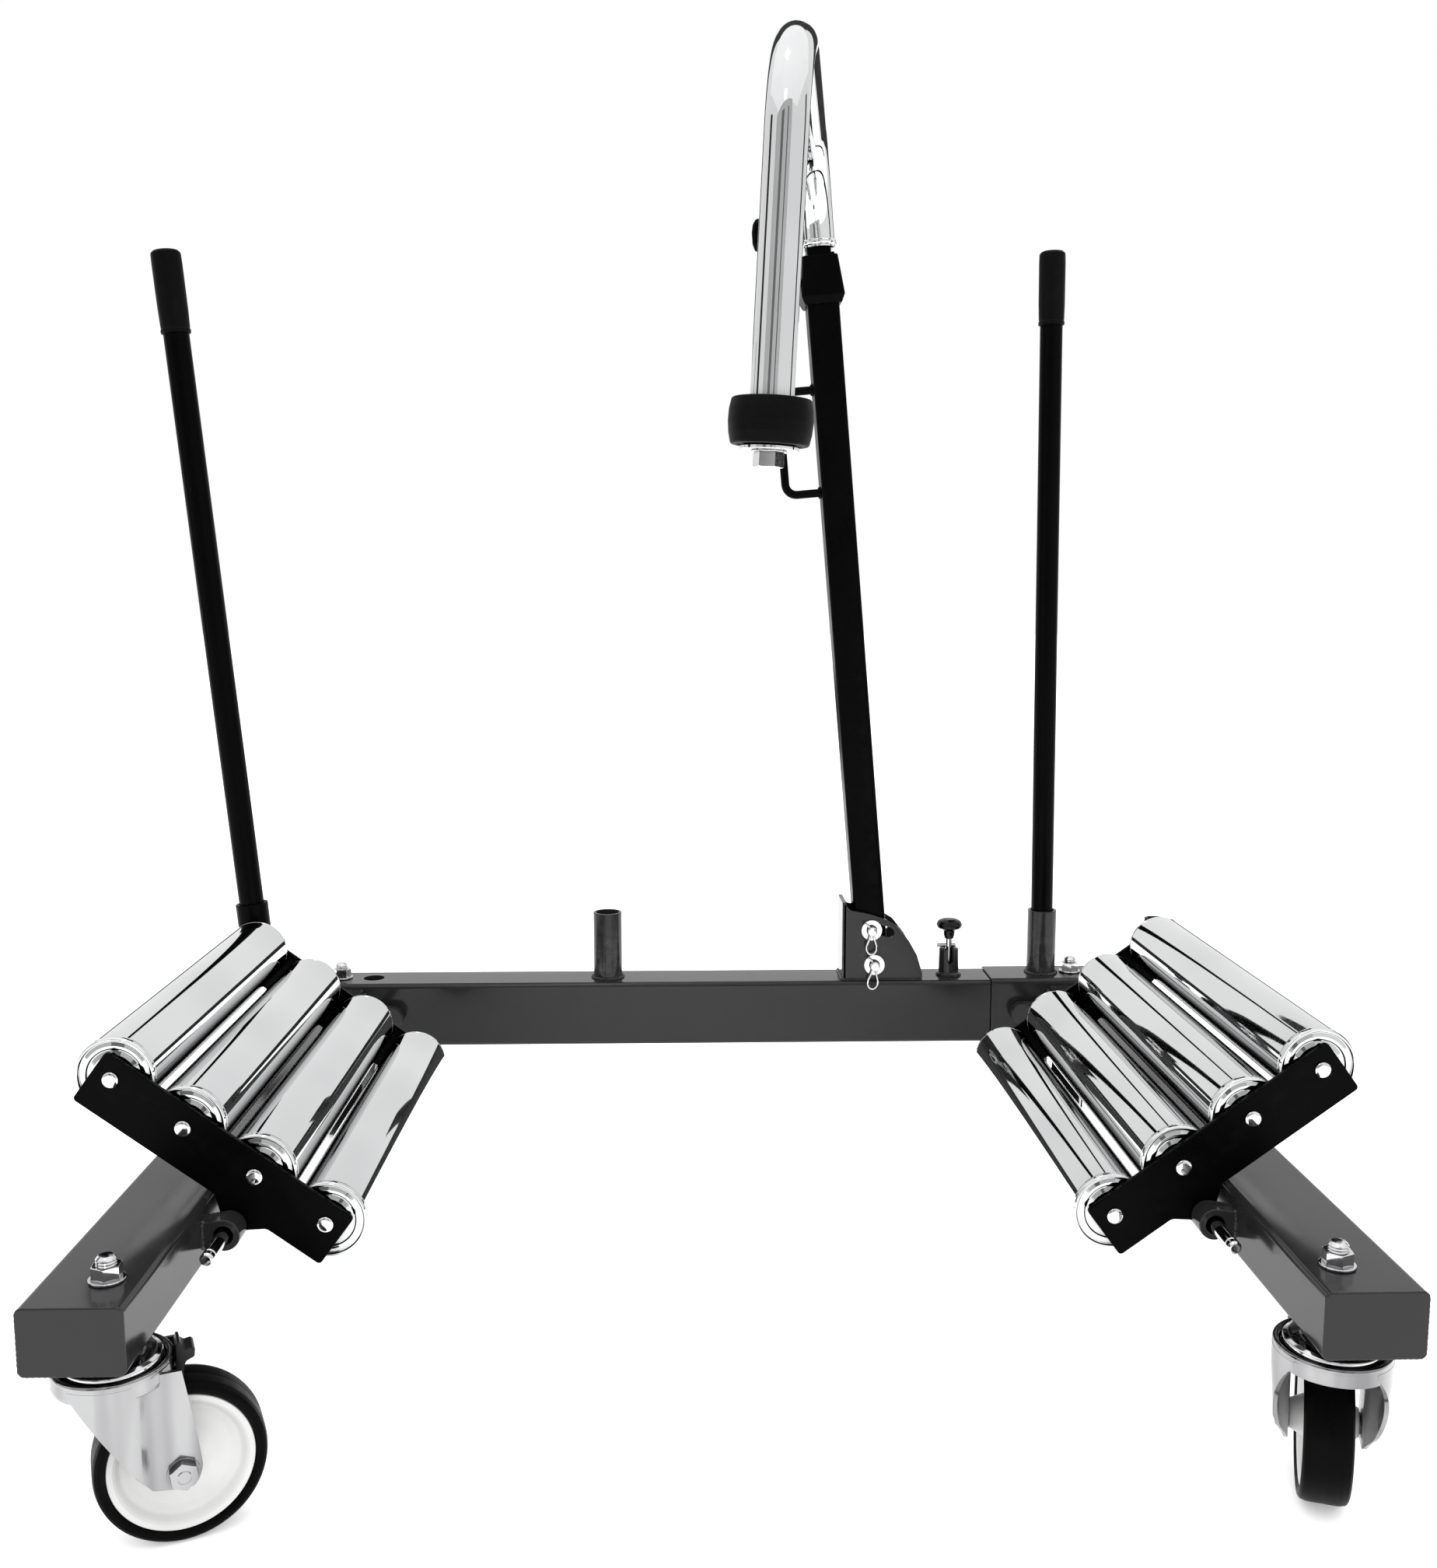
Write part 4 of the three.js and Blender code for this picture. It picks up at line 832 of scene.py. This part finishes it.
bolt_shaft = lathe([(0, -20), (8, -20), (8, 60), (0, 60)], AT_TIP, 32)
washer = disc(28.9, 46.2, 50.1, 0.8, AT_TIP, 64)
small_washer = disc(17.4, 50, 51.6, 0.5, AT_TIP)
head = hexagon(51.4, 66.0, 15.4, AT_TIP, 10)
stand_for("hook_bolt", bolt_shaft, washer, small_washer, head)


# ---- slide tube and pivot rods ----

SLIDE = {"width": 60.8, "height": 75.8, "wall": 4, "end": 417}
HOLE_STEP = 50

bar_middle = (BAR["mid"], (BAR["top"] + BAR["low"]) / 2)
width, height, wall = SLIDE["width"], SLIDE["height"], SLIDE["wall"]
slide = prism(rounded_rectangle(width, height, 3, bar_middle, 5), 0, SLIDE["end"], "X", 0.8)
inside_outline = rounded_rectangle(width - 2 * wall, height - 2 * wall, 1, bar_middle, 3)
inside = prism(inside_outline, -5, SLIDE["end"] + 23, "X")
hole_row = [PLUNGER_X - HOLE_STEP * i for i in range(6)]
cut(slide, inside, *[rod((x, BAR["mid"], 194), (x, BAR["mid"], 219), 4.5, 0, 24) for x in hole_row])
stand_for("slide_tube", slide)

for label in ("left", "right"):
    pivot = design_point(label + "_carriage_tilt")
    profile = fillet([(0, 134), (4.6, 134, 1.5), (6, 136.4, 1.2), (6, 141.2, 0.2), (5.3, 141.8, 0.2),
                      (5.3, 143, 0.2), (6, 143.6, 0.2), (6, 858, 1), (0, 858)], 0, 4)
    stand_for(label + "_pivot_rod", lathe(profile, along_y(pivot.x, pivot.z), 32))


# ---- roller carriages ----

CARRIAGE = {"mid_x": 435.5, "mid_z": LEG_TOP + 38, "pitch": 74, "up": 18.2, "down": 33.6, "end": 128,
            "plate": 5}
PIVOT_UV = (45, -47)
PIVOT_BOSS = 14
SOCKET_HEIGHT = {"left": 50, "right": 24}
LEVER_FOOT = Vector((-534, 697, LEG_TOP + 104))
LEFT_LEAN = math.radians(5.1)
RIGHT_LEAN = math.radians(0.7)


def carriage_point(side, u, v):
    """A point of a carriage plane: u inwards along the plates, v up from the roller axles."""
    x = CARRIAGE["mid_x"] - u * math.cos(TILT) - v * math.sin(TILT)
    return Vector((side * x, CARRIAGE["mid_z"] - u * math.sin(TILT) + v * math.cos(TILT)))


def lean_direction(lean):
    return Vector((math.sin(lean), 0, math.cos(lean)))


def make_carriage(label, side):
    end, up, down = CARRIAGE["end"], CARRIAGE["up"], CARRIAGE["down"]
    pivot_u, pivot_v = PIVOT_UV
    outline = [(-end, -down, 3.5), (pivot_u - 27, -down, 8), (pivot_u - 13.2, pivot_v + 2, 5)]
    for k in range(9):
        t = math.radians(190 + 160 * k / 8)
        outline.append((pivot_u + PIVOT_BOSS * math.cos(t), pivot_v + PIVOT_BOSS * math.sin(t)))
    outline += [(pivot_u + 13.2, pivot_v + 2, 5), (pivot_u + 27, -down, 8), (end, -down, 3.5), (end, up, 3.5),
                (-end, up, 3.5)]
    outline = [carriage_point(side, *p) for p in fillet(outline, 0, 4, True)]
    axles = [carriage_point(side, (i - 1.5) * CARRIAGE["pitch"], 0) for i in range(4)]
    pivot = design_point(label + "_carriage_tilt")
    plates = []
    for y0 in (PLATE_Y[0], PLATE_Y[1] - CARRIAGE["plate"]):
        plate = prism(outline, y0, y0 + CARRIAGE["plate"], "Y", 0.7)
        tools = [rod_y(p.x, p.y, y0 - 3, y0 + 8, 6.5, 0, 28) for p in axles]
        plates.append(cut(plate, *tools, rod_y(pivot.x, pivot.z, y0 - 3, y0 + 8, 6.4, 0, 28)))
    tube = disc(9.2, PLATE_Y[0] + 1, PLATE_Y[1] - 1, 0.6, along_y(pivot.x, pivot.z), 36, bore=6.4)
    welds = [bead(circle_points((pivot.x, y, pivot.z), 9.6, (0, 1, 0), 40), 1.6, True)
             for y in (PLATE_Y[0] + CARRIAGE["plate"] + 0.4, PLATE_Y[1] - CARRIAGE["plate"] - 0.4)]
    foot = Vector((side * -LEVER_FOOT.x, LEVER_FOOT.y, LEVER_FOOT.z))
    axis = lean_direction(side * LEFT_LEAN)
    tall = SOCKET_HEIGHT[label]
    socket_profile = fillet([(5, -8), (16.4, -8, 1.5), (18.2, -6), (18.2, tall - 7, 0.6),
                             (18.3, tall - 6, 0.5), (18.3, tall, 1.1), (14.5, tall, 1.1), (14.5, 0, 0.4),
                             (5, 0)], 0.3, 4, True)
    socket = lathe(socket_profile, facing(foot, axis), 56, True)
    root = carriage_point(side, -CARRIAGE["pitch"] * 1.5 - 2, -9)
    x0, x1 = sorted((root.x + side, root.x + side * 14))
    block = cuboid((x0, x1), (PLATE_Y[1] - 1, PLATE_Y[1] + 14), (root.y - 12, root.y + 12), 1.0)
    seams = [bead([(x, PLATE_Y[1] + 0.4, z) for x in (x0, x1)], 1.4) for z in (root.y - 12.4, root.y + 12.4)]
    stand_for(label + "_carriage", *plates, tube, socket, block, *seams, *welds)


# Two shallow domed rings inside a rolled lip; the second number is the depth behind the roller's end.
ROLLER_END = [(6.4, 1.2), (9.0, 0.5, 0.6), (12.2, 0.9, 1.0), (15.0, 2.3, 0.8), (15.8, 2.4, 0.3),
              (16.6, 1.2, 0.8), (19.0, 1.2, 1.5), (22.8, 2.6, 1.0), (23.8, 2.7, 0.3), (24.6, 1.5, 0.8),
              (27.0, 1.6, 1.5), (30.2, 2.6, 0.6), (30.9, 2.6, 0.2), (31.5, 1.0, 0.8), (33.0, 1.0, 1.0),
              (34.3, 2.8, 1.4), (34.4, 5.2, 0.1), (33.8, 5.6, 0.1), (33.8, 6.3, 0.1), (34.4, 6.7, 0.1)]


def make_roller(label, number, point):
    y0, y1 = ROLLER_Y
    near = fillet(ROLLER_END, 0, 3)
    shell = [(p.x, y0 + p.y) for p in near] + [(p.x, y1 - p.y) for p in reversed(near)]
    inner = [(6.4, y1 - 6), (32.4, y1 - 6), (32.4, y0 + 6), (6.4, y0 + 6)]
    stand_for(f"{label}_roller_{number}", lathe(shell + inner, along_y(point.x, point.y), 112, True))


def make_axle(label, number, point):
    head = [(0, 3), (4.6, 2.9), (6.2, 2.45), (6.95, 1.7), (7, 0.3), (6, 0.3)]
    profile = [(r, PLATE_Y[0] - out) for r, out in head]
    profile += [(r, PLATE_Y[1] + out) for r, out in reversed(head)]
    stand_for(f"{label}_axle_{number}", lathe(profile, along_y(point.x, point.y), 32))


for label, side in (("left", -1), ("right", 1)):
    make_carriage(label, side)
    for i in range(4):
        point = carriage_point(side, (i - 1.5) * CARRIAGE["pitch"], 0)
        make_roller(label, i + 1, point)
        make_axle(label, i + 1, point)


# ---- levers ----

LEVER = {"outer": 14, "bore": 11.5, "grip": 16.4, "grip_length": 88}


def make_lever(label, foot, lean, length):
    place = facing(foot, lean_direction(lean))
    stand_for(label + "_lever", disc(LEVER["outer"], 0, length, 0.9, place, bore=LEVER["bore"]))
    low, top = length - LEVER["grip_length"] + 4, length + 5.9
    grip, fit = LEVER["grip"], LEVER["outer"] + 0.3
    outline = [(fit, low + 0.4, 0.3), (fit + 1.4, low, 0.8), (16.2, low + 0.8, 0.8), (16.3, low + 3.6, 0.8),
               (15.5, low + 5.2, 0.6), (15.8, low + 8, 1.5), (grip - 0.15, low + 26, 20),
               (grip, top - 14, 20), (grip - 0.3, top - 3, 3), (grip - 3.2, top - 0.3, 2.6), (0, top)]
    inside = [(0, length + 0.3), (fit, length + 0.3)]
    outer = fillet(outline, 0, 5)
    stand_for(label + "_grip", lathe(outer + inside + [outer[0]], place, 56))


make_lever("left", LEVER_FOOT + lean_direction(-LEFT_LEAN) * 0.3, -LEFT_LEAN, 783)
make_lever("right", Vector((STORAGE["right"] + 0.6, BAR["mid"], BAR["top"] + 3.1)), -RIGHT_LEAN, 919)


# ---- casters: made trailing along +X with the mounting face at z = 0 ----

WHEEL = {"radius": 65, "trail": 46}
AXLE_Z = FLOOR + WHEEL["radius"] - SEAT
FLAT_Y = 31
CROWN_R = 44.8
SHEET = 3.4
STUD_PITCH = 2.2


def wheel_place(place):
    return place @ along_y(WHEEL["trail"], AXLE_Z)


def caster_head(place, grip):
    """The mounting plate, and the stud and nut that hold it through a tube of height grip."""
    profile = fillet([(0, -0.3), (19, -0.3, 1), (20.5, -3.6, 1.5), (25, -5.6, 3), (33.5, -4.8, 2.5),
                      (37.4, -6.4, 1.8), (38, -9, 0.5), (38, -11.5, 0.5), (0, -11.5)], 0, 4)
    plate = lathe(profile, place, 72)
    turns = [(0, -3), (6.2, -3)]
    z = -2.0
    while z < grip + 18.2:
        turns += [(6.9, z), (7.9, z + STUD_PITCH / 2)]
        z += STUD_PITCH
    turns += [(6.8, grip + 19.4), (5.4, grip + 20.6), (0, grip + 20.8)]
    thread = lathe(turns, place, 28)
    washer_profile = fillet([(0, 0.3), (14, 0.3), (14, 2.6), (0, 2.9)], 0.6, 3)
    washer = lathe(washer_profile, place @ move_to(0, 0, grip), 48)
    return [plate, thread, washer, hexagon(grip + 2.4, grip + 13.2, 12, place, 14)]


def fork_side(x, z):
    """Distance of the pressed leg's outer face from the middle plane: round in front, flat at the axle."""
    drop = min(max((-z - 30) / 77, 0.0), 1.0)
    arc = math.sqrt(max(CROWN_R ** 2 - x * x, 0.0)) * (1 - 0.13 * drop)
    t = min(max((x - 12) / 15, 0.0), 1.0)
    t = t * t * (3 - 2 * t)
    return arc + (FLAT_Y - arc) * t


def along(table, x):
    """The height at x on a line through the table's points."""
    for (x0, z0), (x1, z1) in zip(table, table[1:]):
        if x <= x1:
            return z0 + (z1 - z0) * (x - x0) / (x1 - x0)
    return table[-1][1]


LEG_TOP_EDGE = [(-33, -14.2), (48, -14.2), (56.5, -62), (59.4, -84), (60.3, -92)]
LEG_LOW_EDGE = [(-33, -18.5), (23, -106), (26, -107.2), (50, -110.4), (54.2, -108.4), (57.2, -104.4),
                (59.4, -98), (60.3, -93)]


def fork_leg(place, sign):
    """One pressed leg: a sheet of columns between its top and low edges, made thick."""
    even = [-33 + 2.5 * k for k in range(33)]
    at_corners = [23, 26, 48, 50, 51.5, 53, 54.2, 55.4, 56.5, 57.2, 58.4, 59.4, 60.3]
    columns = sorted({*even, *at_corners})
    rows = 26
    bm = bmesh.new()
    grid = []
    for x in columns:
        top, low = along(LEG_TOP_EDGE, x), along(LEG_LOW_EDGE, x)
        column = []
        for k in range(rows + 1):
            z = top + (low - top) * k / rows
            column.append(bm.verts.new((x, sign * fork_side(x, z), z)))
        grid.append(column)
    for a, b in zip(grid, grid[1:]):
        for k in range(rows):
            bm.faces.new((a[k], b[k], b[k + 1], a[k + 1]))
    leg = to_object("fork_leg", bm, place)
    thicken = leg.modifiers.new("thickness", "SOLIDIFY")
    thicken.thickness = SHEET * MM
    thicken.offset = -1 if outward_facing(leg, place, sign) else 1
    soften = leg.modifiers.new("edge", "BEVEL")
    soften.width = 0.7 * MM
    soften.segments = 2
    soften.angle_limit = math.radians(50)
    return bake(leg)


def outward_facing(obj, place, sign):
    """Whether the flat end of a leg faces away from the wheel."""
    out = (TO_ROW @ place).to_3x3() @ Vector((0, sign, 0))
    return sum(p.normal.dot(out) * p.area for p in obj.data.polygons) > 0


def caster_fork(place):
    crown_profile = fillet([(0, -12.2), (38.6, -12.2), (39.6, -10.4, 0.5), (40.4, -9.6, 0.4),
                            (41.4, -10.2, 0.4), (42.2, -8.7, 0.7), (44.3, -8.7, 1.0), (45, -10.6, 0.9),
                            (44.4, -12.4, 0.4), (44.6, -13.4, 0.6), (44.9, -20, 1.5), (44, -24, 1.4),
                            (40.6, -24, 1.0), (40.2, -17), (0, -17)], 0, 4)
    crown = lathe(crown_profile, place, 96)
    tab_outline = fillet([(-34, -17.2), (42, -17.2), (38, -21), (28, -24), (-34, -24)], 1.5, 3, True)
    tab = prism(tab_outline, -29.5, 29.5, "Y", 0.8, place)
    axle_at = wheel_place(place)
    axle = lathe([(0, -38.9), (4.8, -38.9), (6, -37.8), (6, 38.3), (5, 39), (0, 39)], axle_at, 28)
    bolt_head = hexagon(31.2, 37.4, 11.4, axle_at, 8)
    nut = hexagon(-38.2, -31.2, 11.4, axle_at, 22)
    washers = [disc(12.4, y, y + 1.0, 0.3, axle_at, 40, 2) for y in (30.8, -31.8)]
    spacers = [disc(8.6, y, y + 1, 0, axle_at, 28, bore=6.2) for y in (27, -28)]
    return [crown, tab, fork_leg(place, 1), fork_leg(place, -1), axle, bolt_head, nut, *washers, *spacers]


def caster_hub(place):
    half = fillet([(6.4, 26.6), (11.6, 26.6, 1.0), (13.4, 22.5, 3), (17, 14.5, 5), (24, 9.6, 8),
                   (38, 8.6, 10), (45.2, 10.6, 5), (48.6, 15.0, 2.5), (50.6, 16.6, 1.2), (54.6, 17.1, 0.8),
                   (55.2, 16.2, 0.3)], 0, 4)
    outline = half + [(p.x, -p.y) for p in reversed(half)]
    return [lathe(outline, wheel_place(place), 96, True)]


def caster_tread(place):
    half = fillet([(55.6, 16.4), (56.2, 17.4, 0.6), (58.6, 18.9, 1.4), (61.2, 18.9, 1.2), (63.7, 17.2, 3.0),
                   (64.9, 12.5, 6), (65, 6, 10)], 0, 4)
    mould_line = [(64.9, 0.5), (64.7, 0.2), (64.7, -0.2), (64.9, -0.5)]
    outline = half + mould_line + [(p.x, -p.y) for p in reversed(half)]
    return [lathe(outline, wheel_place(place), 128, True)]


def caster_pedal(place):
    outline = fillet([(46.6, -30.2, 0.8), (46, -25, 1), (45.6, -12, 3), (45.8, -5, 3), (47, -1.7, 0.8),
                      (49, -1.7, 0.8), (50.2, -6, 2), (53, -8.5, 2.5), (58, -7.6, 1.2), (60, -9.5, 1),
                      (59.4, -15.5, 1.4), (53.4, -18, 2), (51.2, -22, 2), (50.6, -30.2, 0.8)], 0, 4, True)
    blade = prism(outline, -9.9, 9.9, "Y", 0.8, place)
    rib_outline = fillet([(47.4, -26), (47.2, -8), (49.8, -9.5), (50.2, -26)], 0.4, 2, True)
    ribs = [prism(rib_outline, y - 0.5, y + 0.5, "Y", 0.2, place) for y in (-9.5, 9.5)]
    return [blade, *ribs]


# name, place of the stud, heading of the trail in degrees, height of the tube above, whether it has a brake
CASTERS = [
    ("caster_fl", (-473, 45), 22.5, LEG["height"], True),
    ("caster_fr", (473, 45), 70.5, LEG["height"], True),
    ("caster_rl", (-482, BAR["mid"]), 115, BAR["top"] - SEAT, False),
    ("caster_rr", (482, BAR["mid"]), 72, BAR["top"] + GROW - SEAT, False),
]
for label, at, heading, grip, braked in CASTERS:
    place = move_to(*at, SEAT) @ turn_about("Z", heading)
    stand_for(label + "_head", *caster_head(place, grip))
    stand_for(label + "_fork", *caster_fork(place))
    stand_for(label + "_hub", *caster_hub(place))
    stand_for(label + "_tread", *caster_tread(place))
    if braked:
        stand_for(label + "_pedal", *caster_pedal(place))


# ---- studio ----

def flat_material(name, colour, roughness, glow=0.0):
    n = Nodes(name)
    shade = n.mix(n.span(n.noise(0.7, 2), 0.3, 0.7), colour, tuple(0.97 * c for c in colour))
    n.link(shade, n.shader.inputs["Base Color"])
    n.set(Roughness=roughness, Specular_IOR_Level=0.2, Emission_Strength=glow)
    return n.material


def quad(name, centre, x_side, y_side, material):
    centre, x_side, y_side = Vector(centre), Vector(x_side) / 2, Vector(y_side) / 2
    mesh = bpy.data.meshes.new(name)
    corners = [centre + x_side * a + y_side * b for a, b in ((-1, -1), (1, -1), (1, 1), (-1, 1))]
    mesh.from_pydata(corners, [], [(0, 1, 2, 3)])
    mesh.materials.append(material)
    obj = add_object(name, mesh)
    return obj


quad("floor", (0, 0, -0.0005), (40, 0, 0), (0, 40, 0), flat_material("floor", (0.96, 0.96, 0.96), 0.7, 0.3))


def card(name, centre, x_side, y_side, shade):
    """A studio card that only mirror-like surfaces see."""
    obj = quad(name, centre, x_side, y_side, flat_material(name, (shade, shade, shade), 0.8))
    obj.visible_camera = False
    obj.visible_diffuse = False
    obj.visible_shadow = False
    obj.visible_transmission = False


card("card_back_low", (0, 4.0, 0.10), (9, 0, 0), (0, 0, 0.5), 0.01)
card("card_left", (-3.0, -0.2, 1.0), (0, 0.7, 0), (0, 0, 3.0), 0.015)
card("card_right", (3.0, 0.6, 1.0), (0, 0.5, 0), (0, 0, 3.0), 0.015)
card("card_front", (-1.7, -3.6, 2.0), (6.4, 0, 0), (0, 0, 3.4), 0.42)
card("card_front_dark", (-1.4, -3.55, 1.8), (0.9, 0, 0), (0, 0, 2.6), 0.12)
card("card_front_slit", (0.3, -3.5, 1.8), (0.3, 0, 0), (0, 0, 2.6), 0.1)
card("card_above_front", (0, -1.2, 4.0), (9, 0, 0), (0, 6.4, 0), 0.74)
card("card_hook_left", (-0.55, 1.55, 1.75), (0.6, 0, 0), (0, 0, 1.0), 0.02)
card("card_hook_right", (0.75, 1.55, 1.75), (0.6, 0, 0), (0, 0, 1.0), 0.02)
card("card_hook_above", (0.1, 1.55, 2.75), (1.9, 0, 0), (0, 0, 1.0), 0.02)

world = bpy.data.worlds.new("studio")
bpy.context.scene.world = world
world.use_nodes = True
background = world.node_tree.nodes["Background"]
background.inputs["Color"].default_value = (1, 1, 1, 1)
background.inputs["Strength"].default_value = 1.0


def soft_light(name, at, target, size, watts, glossy=True):
    light = bpy.data.lights.new(name, "AREA")
    light.shape = "RECTANGLE"
    light.size, light.size_y = size
    light.energy = watts
    obj = add_object(name, light)
    obj.visible_glossy = glossy
    obj.location = at
    obj.rotation_euler = (Vector(target) - Vector(at)).to_track_quat("-Z", "Y").to_euler()


soft_light("top", (0, 0.2, 3.4), (0, 0, 0), (3.0, 3.0), 30, False)
soft_light("left", (-2.8, -1.6, 1.9), (0, 0, 0.4), (0.7, 2.2), 14, False)
soft_light("right", (2.6, -1.9, 1.7), (0, 0, 0.4), (0.5, 2.2), 10, False)
soft_light("window", (-0.3, -0.3, 3.4), (0, 0, 1.0), (0.45, 0.45), 3)
soft_light("window_low", (-0.5, -2.0, 2.9), (0, 0, 1.0), (0.45, 0.45), 3)

sky = bpy.data.lights.new("sky", "SUN")
sky.energy = 1.3
sky.angle = math.radians(120)
add_object("sky", sky).visible_glossy = False

bpy.context.scene.view_settings.view_transform = "Standard"


# ---- camera ----

CAMERA_POINT = Vector((-36.575, -1061.195, 731.828))
VIEW_RIGHT = Vector((0.99964, -0.02666, 0.0003))
VIEW_FORWARD = Vector((0.02647, 0.99100, -0.13125))
LENS = {"focal_mm": 34.84184, "sensor_mm": 36, "shift_x": -0.000868, "shift_y": -0.000903}

camera_data = bpy.data.cameras.new("camera")
camera_data.sensor_fit = "VERTICAL"
camera_data.sensor_height = LENS["sensor_mm"]
camera_data.lens = LENS["focal_mm"]
camera_data.shift_x = LENS["shift_x"]
camera_data.shift_y = LENS["shift_y"]
camera_data.clip_start = 0.02
camera = add_object("camera", camera_data)
forward = VIEW_FORWARD.normalized()
right_hand = (VIEW_RIGHT - forward * VIEW_RIGHT.dot(forward)).normalized()
upward = right_hand.cross(forward)
basis = Matrix((right_hand, upward, -forward)).transposed().to_4x4()
camera.matrix_world = Matrix.Translation(TO_ROW @ CAMERA_POINT) @ basis
bpy.context.scene.camera = camera
